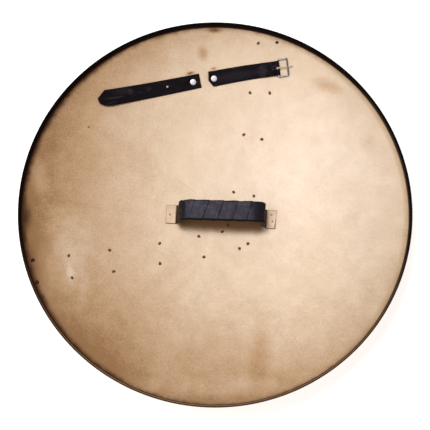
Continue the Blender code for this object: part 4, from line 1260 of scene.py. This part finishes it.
def waved(point):
    """A point of a strap, raised or sunk by the gentle waves of soft leather."""
    wave = noise.noise(point / WAVE_LENGTH) + 0.5 * noise.noise(point / RIPPLE_LENGTH)
    return sunk(point) + Vector((0, 0, LEATHER_WAVE * (wave + 0.6)))


def strap_slab(left, right, from_end):
    """The strap's section between two edges. It is a hair thinner right at a cut end."""
    eased = END_EASE * (1 - smooth_step(0, 2 * END_EASE, from_end))
    half = LEATHER_THICKNESS / 2 - eased / 2
    return slab(left + eased, right - eased, -half, half, min(LEATHER_EDGE_ROUNDING, half * 0.9),
                columns=STRAP_COLUMNS)


def cut_marks(section, from_end):
    """The mark of a cut edge for each point of a section, also all over it close to a cut end."""
    end_cut = 1 - smooth_step(END_EASE * 0.5, END_EASE * 2.2, from_end)
    return [max(cut, end_cut) for _, _, cut in section]


def hole_cutter(places, radius):
    """A round punch at each place."""
    cutter = new_shape()
    for place in places:
        bmesh.ops.create_cone(cutter, cap_ends=True, segments=HOLE_STEPS, radius1=radius, radius2=radius,
                              depth=CUTTER_DEPTH, matrix=place)
    return cutter


tip_stations = evenly(-TIP_HALF_BACK, TIP_HALF_LENGTH - TIP_ROUND_LENGTH, STRAP_SPACING)
tip_stations += evenly(TIP_HALF_LENGTH - TIP_ROUND_LENGTH, TIP_HALF_LENGTH, TIP_END_SPACING)[1:]
tip_stations[1:1] = [tip_stations[0] + END_EASE, tip_stations[0] + 2 * END_EASE]
tip_rings = []
tip_marks = []
for along in tip_stations:
    upper, lower = tip_half_edges(along)
    from_end = min(along + TIP_HALF_BACK, TIP_HALF_LENGTH - along)
    lifted = smooth_step(TIP_LIFT_START, TIP_HALF_LENGTH, along) * TIP_LIFT
    station = strap_place(TIP_RIVET_PLACE, TIP_HALF_TURN, along, LEATHER_REST + lifted)
    section = strap_slab(upper, lower, from_end)
    tip_rings.append([waved(point) for point in placed(station, section)])
    tip_marks.append(cut_marks(section, from_end))
tip_shape = new_shape("cut")
set_mark(tip_shape, "cut", sweep(tip_shape, tip_rings), tip_marks)
to_hole_line = Matrix.Translation((0, -STRAP_HOLE_OFFSET, 0))
hole_places = [strap_place(TIP_RIVET_PLACE, TIP_HALF_TURN, along, 0) @ to_hole_line
               for along in STRAP_HOLE_PLACES]
tip_mesh = drilled(to_mesh("strap tip half", tip_shape), hole_cutter(hole_places, STRAP_HOLE_RADIUS))
add_piece("pointed_strap_leather", tip_mesh, strap_leather, "shield", "black_leather", "strap_tip_half")

# %% [markdown]
# ## The buckle half of the arm strap
#
# The other half runs from its rivet over its own returned end, round the buckle's heel bar, and back
# under itself. It is one ribbon, so one sweep makes it: the line climbs a short ramp, follows the bar in
# a half circle, and ends below. A slot lets the prong through the fold. The buckle's own frame comes from
# the joint of the solid model, so leather, wire and hinge can't drift apart.

# %% Buckle half mesh
BUCKLE_HALF_TURN = math.radians(7.8)
BUCKLE_HALF_BACK = 0.0107
BUCKLE_HALF_WIDTH_AT_RIVET = 0.0340
BUCKLE_SIDE_BOW = 0.0020
BUCKLE_END_SKEW = 0.0034
BUCKLE_CORNER_CLIP = 0.0105
BUCKLE_CLIP_FROM_MIDDLE = 0.0025
CLIP_FADE = 0.020
RETURN_LENGTH = 0.0310
RAMP_LENGTH = 0.0120
FOLD_STEPS = 20
SLOT_LENGTH = 0.0172
SLOT_LENGTH_BELOW = 0.0076
SLOT_WIDTH = 0.0056
HEEL_BAR_FROM_RIVET = 0.1390
FRAME_LENGTH = 0.0215
FRAME_WIDTH = 0.0366
FRAME_WIRE = 0.0036
FRAME_CORNER_RADIUS = 0.0024
PRONG_WIRE = 0.0024
PRONG_LENGTH = 0.0325
PRONG_DROOP = 0.0008
HEEL_BAR_HEIGHT = FIT_GAP + PRONG_WIRE + FIT_GAP + FRAME_WIRE / 2
FOLD_RADIUS = FRAME_WIRE / 2 + FIT_GAP + LEATHER_THICKNESS / 2
WIDTH_AT_FOLD = FRAME_WIDTH - 2 * FRAME_CORNER_RADIUS - 2 * FIT_GAP

heel_joint = next(joint for joint in frame["joints"] if joint["name"] == "buckle_swing")
heel_axis = -Vector(heel_joint["axis"]).normalized()
heel_point = Vector(heel_joint["pos_m"])
to_far_bar = node_middle("buckle_frame") - heel_point
along_frame = (to_far_bar - to_far_bar.dot(heel_axis) * heel_axis).normalized()
buckle_place = frame_at(heel_point, along_frame, heel_axis)


def buckle_half_line():
    """The middle line as (along, height): over the returned end, round the bar and back below."""
    upper = LEATHER_REST + LEATHER_THICKNESS + FIT_GAP
    return_end = HEEL_BAR_FROM_RIVET - RETURN_LENGTH
    ramp_start = return_end - RAMP_LENGTH
    loop_start = HEEL_BAR_FROM_RIVET - 4 * FOLD_RADIUS
    line = [(along, LEATHER_REST) for along in evenly(-BUCKLE_HALF_BACK, ramp_start, STRAP_SPACING)]
    for along in evenly(ramp_start, return_end, STRAP_SPACING / 2)[1:]:
        share = smooth_step(ramp_start, return_end, along)
        line.append((along, LEATHER_REST + (upper - LEATHER_REST) * share))
    line += [(along, upper) for along in evenly(return_end, loop_start, STRAP_SPACING)[1:]]
    top_height = HEEL_BAR_HEIGHT + FOLD_RADIUS
    fold_start = HEEL_BAR_FROM_RIVET
    for along in evenly(loop_start, fold_start, STRAP_SPACING / 2)[1:-1]:
        line.append((along, upper + (top_height - upper) * smooth_step(loop_start, fold_start, along)))
    line += arc((fold_start, HEEL_BAR_HEIGHT), FOLD_RADIUS, math.pi, 0, FOLD_STEPS)
    bottom_height = HEEL_BAR_HEIGHT - FOLD_RADIUS
    for along in evenly(fold_start, loop_start, STRAP_SPACING / 2)[1:]:
        share = smooth_step(loop_start, fold_start, along)
        line.append((along, LEATHER_REST + (bottom_height - LEATHER_REST) * share))
    return line + [(along, LEATHER_REST) for along in evenly(loop_start, return_end, STRAP_SPACING)[1:]]


def buckle_half_width(along):
    """The strap narrows a little from its rivet to the buckle."""
    share = max(0, along) / HEEL_BAR_FROM_RIVET
    return BUCKLE_HALF_WIDTH_AT_RIVET + share * (WIDTH_AT_FOLD - BUCKLE_HALF_WIDTH_AT_RIVET)


def by_buckle_strap(along, height):
    """A frame on the sheet at this distance from the buckle half's rivet."""
    return strap_place(BUCKLE_RIVET_PLACE, BUCKLE_HALF_TURN, along, height)


def buckle_station(line, at):
    """A frame on the ribbon: X along its line, Y across the strap, Z out of its grain side."""
    before = by_buckle_strap(*line[max(at - 1, 0)]).translation
    after = by_buckle_strap(*line[min(at + 1, len(line) - 1)]).translation
    place = by_buckle_strap(*line[at])
    across = place.col[1].to_3d()
    tangent = (after - before).normalized()
    tangent = (tangent - tangent.dot(across) * across).normalized()
    return frame_at(place.translation, tangent, across)


buckle_line = buckle_half_line()
buckle_line[1:1] = [(buckle_line[0][0] + END_EASE, LEATHER_REST)]
buckle_rings = []
buckle_marks = []
for at, (along, height) in enumerate(buckle_line):
    half = buckle_half_width(along) / 2
    bow = BUCKLE_SIDE_BOW * math.sin(math.pi * min(1, max(0, along) / HEEL_BAR_FROM_RIVET))
    from_end = min(at, len(buckle_line) - 1 - at) * END_EASE
    section = strap_slab(bow - half, bow + half, from_end)
    ring = placed(buckle_station(buckle_line, at), section)
    single_layer = along < HEEL_BAR_FROM_RIVET - RETURN_LENGTH
    buckle_rings.append([waved(point) for point in ring] if single_layer else ring)
    buckle_marks.append(cut_marks(section, from_end))
buckle_shape = new_shape("cut")
set_mark(buckle_shape, "cut", sweep(buckle_shape, buckle_rings), buckle_marks)

# The end by the rivet is cut askew and has one corner clipped: a wedge is pushed towards the buckle
rivet_frame = by_buckle_strap(0, 0)
half_at_rivet = BUCKLE_HALF_WIDTH_AT_RIVET / 2
for vertex in buckle_shape.verts:
    local = rivet_frame.inverted() @ vertex.co
    from_end = local.x + BUCKLE_HALF_BACK
    if from_end < CLIP_FADE:
        skew = -BUCKLE_END_SKEW * (half_at_rivet - local.y) / (2 * half_at_rivet)
        beyond_clip = max(0, -BUCKLE_CLIP_FROM_MIDDLE - local.y) / (half_at_rivet - BUCKLE_CLIP_FROM_MIDDLE)
        push = (skew + BUCKLE_CORNER_CLIP * beyond_clip) * (1 - from_end / CLIP_FADE)
        vertex.co += push * rivet_frame.col[0].to_3d()

# The prong's slot: a shorter cut right through the fold, and a longer one in the upper layer only
heel_on_dish = by_buckle_strap(HEEL_BAR_FROM_RIVET, 0)
past_fold = FOLD_RADIUS + LEATHER_THICKNESS
over_fold = HEEL_BAR_HEIGHT + past_fold
between_layers = LEATHER_REST + LEATHER_THICKNESS / 2 + FIT_GAP / 2
buckle_mesh = to_mesh("strap buckle half", buckle_shape)
for start, end, low, high in (
    (-SLOT_LENGTH_BELOW, past_fold, -LEATHER_THICKNESS, over_fold),
    (-SLOT_LENGTH, -SLOT_LENGTH_BELOW / 2, between_layers, over_fold + LEATHER_THICKNESS),
):
    middle = ((start + end) / 2, 0, (low + high) / 2)
    box_size = (end - start, SLOT_WIDTH, high - low, 1)
    box_place = heel_on_dish @ Matrix.Translation(middle) @ Matrix.Diagonal(box_size)
    slot_shape = new_shape()
    bmesh.ops.create_cube(slot_shape, size=1, matrix=box_place)
    buckle_mesh = drilled(buckle_mesh, slot_shape)
add_piece("folded_strap_leather", buckle_mesh, strap_leather, "shield", "black_leather",
          "strap_buckle_half")

# %% [markdown]
# ## Rivets
#
# The strap's two rivets are bright nickel with a small dimple where the setting tool sat. A rivet is a
# turned shape, so its section is drawn from the crown outwards, down its shank and out again to the low
# head on the shield's front, and spun. All the heads sit on leather or metal of known thickness, so the
# section's heights are sums of those thicknesses. The grip's rivets are small brass ones.

# %% Rivets
RIVET_STEPS = 56
# Head, back and dimple: radius and height, or depth. Shank: radius
STRAP_RIVET = {"head": (0.0066, 0.0019), "shank": 0.0020, "back": (0.0045, 0.0011),
               "dimple": (0.0015, 0.0006)}
GRIP_RIVET = {"head": (0.0019, 0.0007), "shank": 0.0011, "back": (0.0019, 0.0007), "dimple": (0, 0)}
GRIP_RIVET_HALF_RISE = 0.0012
SCRATCH_HEADING = 0.6
SCRATCH_NARROWING = 0.14
HEAD_EDGE_SHARE = 0.36
DIMPLE_STEPS = 4
CROWN_STEPS = 7
EDGE_STEPS = 8
RIVET_PALE = (0.86, 0.80, 0.83)
RIVET_GREY = (0.74, 0.67, 0.71)
RIVET_DIRT = (0.22, 0.17, 0.18)
WIRE_PALE = (0.82, 0.80, 0.79)
WIRE_GREY = (0.50, 0.46, 0.44)
# Painted dark reflection and shade for the buckle's far bar and lower side
WIRE_DARK_REFLECTION = (0.045, 0.024, 0.018)
SCRATCH_SIZE = 0.003
SCRATCH_DEPTH = 0.00004
DUST_SIZE = 0.0016
RIVET_BRASS_CLOUD_SIZE = 0.0012
RIVET_BRASS_DARK = (0.16, 0.085, 0.045)
RIVET_BRASS_PALE = (0.52, 0.35, 0.22)


def rivet_section(sizes, foot):
    """The section from the crown to the middle of the back: a dome with a rolled-over edge on each head."""
    section = []
    dimple_radius, dimple_depth = sizes["dimple"]
    head_radius, head_height = sizes["head"]
    if dimple_radius:
        for step in range(DIMPLE_STEPS + 1):
            share = step / DIMPLE_STEPS
            dip = dimple_depth * (1 - smooth_step(0.25, 1, share))
            section.append((dimple_radius * share, foot + head_height - dip))
    else:
        section.append((0, foot + head_height))
    edge = head_height * HEAD_EDGE_SHARE
    for step in range(1, CROWN_STEPS + 1):
        share = step / CROWN_STEPS
        across = dimple_radius + (head_radius - edge - dimple_radius) * share
        section.append((across, foot + head_height - (head_height - 2 * edge) * share ** 2.2))
    section += arc((head_radius - edge, foot + edge), edge, math.pi, 0, EDGE_STEPS)[1:]
    back_radius, back_height = sizes["back"]
    back_foot = -SHEET_THICKNESS - FIT_GAP
    section += [(sizes["shank"], foot), (sizes["shank"], back_foot), (back_radius, back_foot)]
    for step in range(1, CROWN_STEPS):
        angle = math.pi / 2 * step / CROWN_STEPS
        section.append((back_radius * math.cos(angle), back_foot - back_height * math.sin(angle)))
    section.append((0, back_foot - back_height))
    return section


def add_rivet(name, sizes, foot, place, finish, slot, node):
    """One rivet, with its "sunk" mark in the dimple and round the edge, where dirt stays."""
    shape = new_shape("sunk")
    turned(shape, rivet_section(sizes, foot), RIVET_STEPS)
    layer = shape.verts.layers.float["sunk"]
    for vertex in shape.verts:
        reach = vertex.co.xy.length / sizes["head"][0]
        in_dimple = 1 - smooth_step(0.10, 0.30, reach)
        at_edge = smooth_step(0.9, 1.0, reach)
        vertex[layer] = max(in_dimple, at_edge)
    add_piece(name, to_mesh(name, shape, place), finish, "shield", slot, node)


def nickel_finish(name, bright, dull, dirt, metallic, roughness):
    """Plated metal with fine scratches, darkened where the "sunk" mark and the noise agree: dirt on a
    rivet, painted dark reflection and shade on the buckle's frame.
    """
    finish = Finish(name, Metallic=metallic)
    spot = finish.place()
    brushed = finish.turned(spot, turn=SCRATCH_HEADING, size=(1, SCRATCH_NARROWING, 1))
    scratches = finish.noise(brushed, SCRATCH_SIZE, detail=4, roughness=0.7)
    dust = finish.noise(spot, DUST_SIZE, detail=3)
    grime = (finish.attribute("sunk") * 0.8 + (dust - 0.5) * 0.5).rise(0.35, 0.80)
    finish.connect(
        Base_Color=finish.blend(grime * 0.8, finish.blend(scratches, bright, dull), dirt),
        Roughness=roughness + (scratches - 0.5) * 0.2 + grime * 0.25,
        Normal=finish.bump(scratches, SCRATCH_DEPTH),
    )
    return finish


rivet_nickel = nickel_finish("bright_nickel", RIVET_PALE, RIVET_GREY, RIVET_DIRT,
                             metallic=0.35, roughness=0.34)
wire_nickel = nickel_finish("nickel_wire_worn_and_shaded", WIRE_PALE, WIRE_GREY, WIRE_DARK_REFLECTION,
                            metallic=0.70, roughness=0.30)
rivet_brass = Finish("rivet_brass", Metallic=0.7)
rivet_noise = rivet_brass.noise(rivet_brass.place(), RIVET_BRASS_CLOUD_SIZE, detail=3)
rivet_brass.connect(
    Base_Color=rivet_brass.blend(rivet_noise, RIVET_BRASS_DARK, RIVET_BRASS_PALE),
    Roughness=0.40 + rivet_noise * 0.2,
)

on_leather = FIT_GAP + LEATHER_THICKNESS + FIT_GAP
for name, node, rivet_place in (("strap_rivet_left", "strap_rivet_tip", TIP_RIVET_PLACE),
                                ("strap_rivet_right", "strap_rivet_buckle", BUCKLE_RIVET_PLACE)):
    in_dent = sheet_place(*rivet_place, height=-dent(*rivet_place))
    add_rivet(name, STRAP_RIVET, on_leather, in_dent, rivet_nickel, "nickel", node)


def node_foot(node, half_rise):
    """Where a fastener's axis meets the sheet: its box's middle, less its rise along its own axis."""
    middle = node_middle(node)
    out = sheet_normal(middle.x, middle.y)
    return middle.x - half_rise * out.x, middle.y - half_rise * out.y


on_foot = FIT_GAP + STRIP_THICKNESS + FIT_GAP
for node in ("grip_rivet_left", "grip_rivet_right_upper", "grip_rivet_right_lower"):
    foot_place = sheet_place(*node_foot(node, GRIP_RIVET_HALF_RISE))
    add_rivet(node + "_head", GRIP_RIVET, on_foot, foot_place, rivet_brass, "antique_brass", node)

# %% [markdown]
# ## The buckle
#
# A strap buckle of this kind is bent from wire: a rectangle with tight round corners, and a prong that is
# curled round one side of it. A circle is swept round the frame's line and joined end to end. The
# prong's wire thins towards its tip, so its circles shrink along the way. Each turns with its own body.

# %% Buckle meshes
WIRE_STEPS = 20
FRAME_CORNER_STEPS = 8
PRONG_EYE_START = math.radians(-40)
PRONG_EYE_SWEEP = math.radians(230)
PRONG_EYE_STEPS = 26
PRONG_STRAIGHT_STEPS = 14
PRONG_TIP_STEPS = 5
PRONG_TIP_SHARE = 0.62


def frame_stations():
    """Frames round the closed wire, in the buckle's plane, with X along the wire."""
    reach = FRAME_CORNER_RADIUS
    half = FRAME_WIDTH / 2
    corners = [(FRAME_LENGTH - reach, half - reach, 0), (reach, half - reach, math.pi / 2),
               (reach, -half + reach, math.pi), (FRAME_LENGTH - reach, -half + reach, 3 * math.pi / 2)]
    stations = []
    for cx, cy, start in corners:
        for step in range(FRAME_CORNER_STEPS + 1):
            angle = start + math.pi / 2 * step / FRAME_CORNER_STEPS
            spot = Vector((cx + reach * math.cos(angle), cy + reach * math.sin(angle), 0))
            stations.append(Matrix.Translation(spot) @ Matrix.Rotation(angle + math.pi / 2, 4, "Z"))
    return stations


def circle(radius):
    """A wire's section."""
    angles = [2 * math.pi * step / WIRE_STEPS for step in range(WIRE_STEPS)]
    return [(radius * math.cos(angle), radius * math.sin(angle), 0.0) for angle in angles]


def prong_stations():
    """Frames and radii along the prong: an eye round the heel bar, a straight run and a rounded tip."""
    eye_radius = FRAME_WIRE / 2 + FIT_GAP + PRONG_WIRE / 2
    line = []
    for step in range(PRONG_EYE_STEPS + 1):
        angle = PRONG_EYE_START - PRONG_EYE_SWEEP * step / PRONG_EYE_STEPS
        line.append((eye_radius * math.cos(angle), eye_radius * math.sin(angle)))
    last_turn = line[-1]
    over_bar = (FRAME_LENGTH + FRAME_WIRE / 2, eye_radius)
    for step in range(1, PRONG_STRAIGHT_STEPS + 1):
        share = step / PRONG_STRAIGHT_STEPS
        line.append((last_turn[0] + (over_bar[0] - last_turn[0]) * share,
                     last_turn[1] + (over_bar[1] - last_turn[1]) * smooth_step(0, 0.35, share)))
    body_points = len(line)
    for step in range(1, PRONG_TIP_STEPS + 1):
        share = math.sin(math.pi / 2 * step / PRONG_TIP_STEPS)
        line.append((over_bar[0] + (PRONG_LENGTH - over_bar[0]) * share, eye_radius - PRONG_DROOP * share))
    stations = []
    for at, (px, pz) in enumerate(line):
        before, after = line[max(at - 1, 0)], line[min(at + 1, len(line) - 1)]
        tangent = Vector((after[0] - before[0], 0, after[1] - before[1])).normalized()
        towards_tip = max(0, at - body_points + 1) / PRONG_TIP_STEPS
        thinning = 1 - (1 - PRONG_TIP_SHARE) * smooth_step(PRONG_EYE_STEPS, body_points, at)
        end_round = math.sqrt(max(0.05, 1 - towards_tip ** 4))
        station = frame_at(Vector((px, 0, pz)), tangent, Vector((0, 1, 0)))
        stations.append((station, PRONG_WIRE / 2 * thinning * end_round))
    return stations


wire_section = circle(FRAME_WIRE / 2)
frame_shape = new_shape("sunk")
sweep(frame_shape, [placed(station, wire_section) for station in frame_stations()], closed=True)
# Painted dark reflection on the far bar and painted shade on the lower side bar, through the sunk mark
dark_reflection_layer = frame_shape.verts.layers.float["sunk"]
for vertex in frame_shape.verts:
    at_far_bar = 0.95 * smooth_step(FRAME_LENGTH * 0.75, FRAME_LENGTH, vertex.co.x)
    at_low_side = 0.70 * smooth_step(FRAME_WIDTH * 0.49, FRAME_WIDTH * 0.53, -vertex.co.y)
    vertex[dark_reflection_layer] = max(at_far_bar, at_low_side)
wire_mesh = to_mesh("buckle frame", frame_shape, buckle_place)
add_piece("buckle_wire_frame", wire_mesh, wire_nickel, "buckle_frame", "nickel", "buckle_frame")

prong_shape = new_shape("sunk")
sweep(prong_shape, [placed(station, circle(reach)) for station, reach in prong_stations()])
prong_mesh = to_mesh("buckle prong", prong_shape, buckle_place)
add_piece("buckle_tongue", prong_mesh, wire_nickel, "buckle_prong", "nickel", "buckle_prong")

# %% [markdown]
# ## The pins
#
# Twenty-two pins come through the sheet in two rows of pairs. Their ends were hammered over by hand, so
# no two are alike. One low round blank is made for each, then every point is pushed in or out by a noise
# that is read at the pin's own place: always the same for the same pin, and different for every other.
# On the shield's front the pins end almost flush.

# %% Pins
PIN_SHANK_RADIUS = 0.0013
PIN_HEAD_RADIUS = 0.0024
PIN_HEAD_HEIGHT = 0.0016
PIN_DOME_HEIGHT = PIN_HEAD_HEIGHT * 0.72
PIN_HEAD_FOOT_RADIUS = PIN_HEAD_RADIUS * 0.93
PIN_TIP_RADIUS = PIN_SHANK_RADIUS * 0.6
PIN_HEAD_STRETCH = 1.25
PIN_HEAD_SPREAD = 1.16
PIN_HEAD_UNEVEN = 0.34
PIN_HEAD_LEAN = 0.22
PIN_SEED_SCALE = 900
PIN_PAINT_REACHED = (0.380, 0.388)
PIN_LEAN_STEP = math.radians(137.5)
PIN_STEPS = 20
PIN_ROUND_STEPS = 6
PIN_FRONT_RISE = 0.00005
PIN_HALF_RISE = (FIT_GAP + PIN_HEAD_HEIGHT - SHEET_THICKNESS) / 2
PIN_SCALE_SIZE = 0.0014
PIN_SCALE_DEPTH = 0.0002
PIN_DARK = (0.075, 0.026, 0.008)
PIN_BROWN = (0.36, 0.160, 0.055)
PIN_PAINT = (0.012, 0.008, 0.007)


def pin_section():
    """The section of a pin: a low dome, its shank through the sheet and its end on the front."""
    crown = FIT_GAP + PIN_HEAD_HEIGHT
    section = []
    for step in range(PIN_ROUND_STEPS + 1):
        angle = math.pi / 2 * step / PIN_ROUND_STEPS
        drop = PIN_DOME_HEIGHT * (1 - math.cos(angle))
        section.append((PIN_HEAD_RADIUS * math.sin(angle), crown - drop))
    front = -SHEET_THICKNESS - PIN_FRONT_RISE
    section += [(PIN_HEAD_FOOT_RADIUS, FIT_GAP), (PIN_SHANK_RADIUS, FIT_GAP)]
    return section + [(PIN_SHANK_RADIUS, -SHEET_THICKNESS), (PIN_TIP_RADIUS, front), (0, front)]


pin_metal = Finish("dark_hammered_pin", Metallic=0.1, Specular_IOR_Level=0.1)
spot = pin_metal.place()
scale = pin_metal.noise(spot, PIN_SCALE_SIZE, detail=4, roughness=0.7)
pin_colour = pin_metal.blend(scale.rise(0.35, 0.70), PIN_DARK, PIN_BROWN)
# The dark paint beside the wall has reached the two pins nearest to it
painted_over = pin_metal.length(pin_metal.flattened(spot)).rise(*PIN_PAINT_REACHED)
pin_metal.connect(
    Base_Color=pin_metal.blend(painted_over * 0.85, pin_colour, PIN_PAINT),
    Roughness=0.45 + (scale - 0.5) * 0.3,
    Normal=pin_metal.bump(scale, PIN_SCALE_DEPTH),
)
for number, node in enumerate(pin_nodes):
    px, py = node_foot(node, PIN_HALF_RISE)
    shape = new_shape()
    turned(shape, pin_section(), PIN_STEPS)
    for vertex in shape.verts:
        if vertex.co.z > 0 and vertex.co.xy.length > PIN_SHANK_RADIUS * 0.5:
            seed_point = Vector((px, py, 0)) * PIN_SEED_SCALE + vertex.co.normalized() * 0.9
            push = PIN_HEAD_SPREAD + PIN_HEAD_UNEVEN * noise.noise(seed_point)
            leaning = 1 + PIN_HEAD_LEAN * vertex.co.x / PIN_HEAD_RADIUS
            vertex.co.x *= push * PIN_HEAD_STRETCH * leaning
            vertex.co.y *= push
    pin_mesh = to_mesh(node, shape, sheet_place(px, py, turn=PIN_LEAN_STEP * number))
    add_piece("hammered_" + node, pin_mesh, pin_metal, "shield", "dark_pin", node)

# %% [markdown]
# ## Sizes
#
# The dressed shield should be as large as its solid model. Both boxes are printed side by side.

# %% Sizes
dressed_low, dressed_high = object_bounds()
sizes = {"cad": [list(solid_low), list(solid_high)], "visual": [list(dressed_low), list(dressed_high)]}
for name, (low, high) in sizes.items():
    print(name, [round(v, 4) for v in low], [round(v, 4) for v in high])
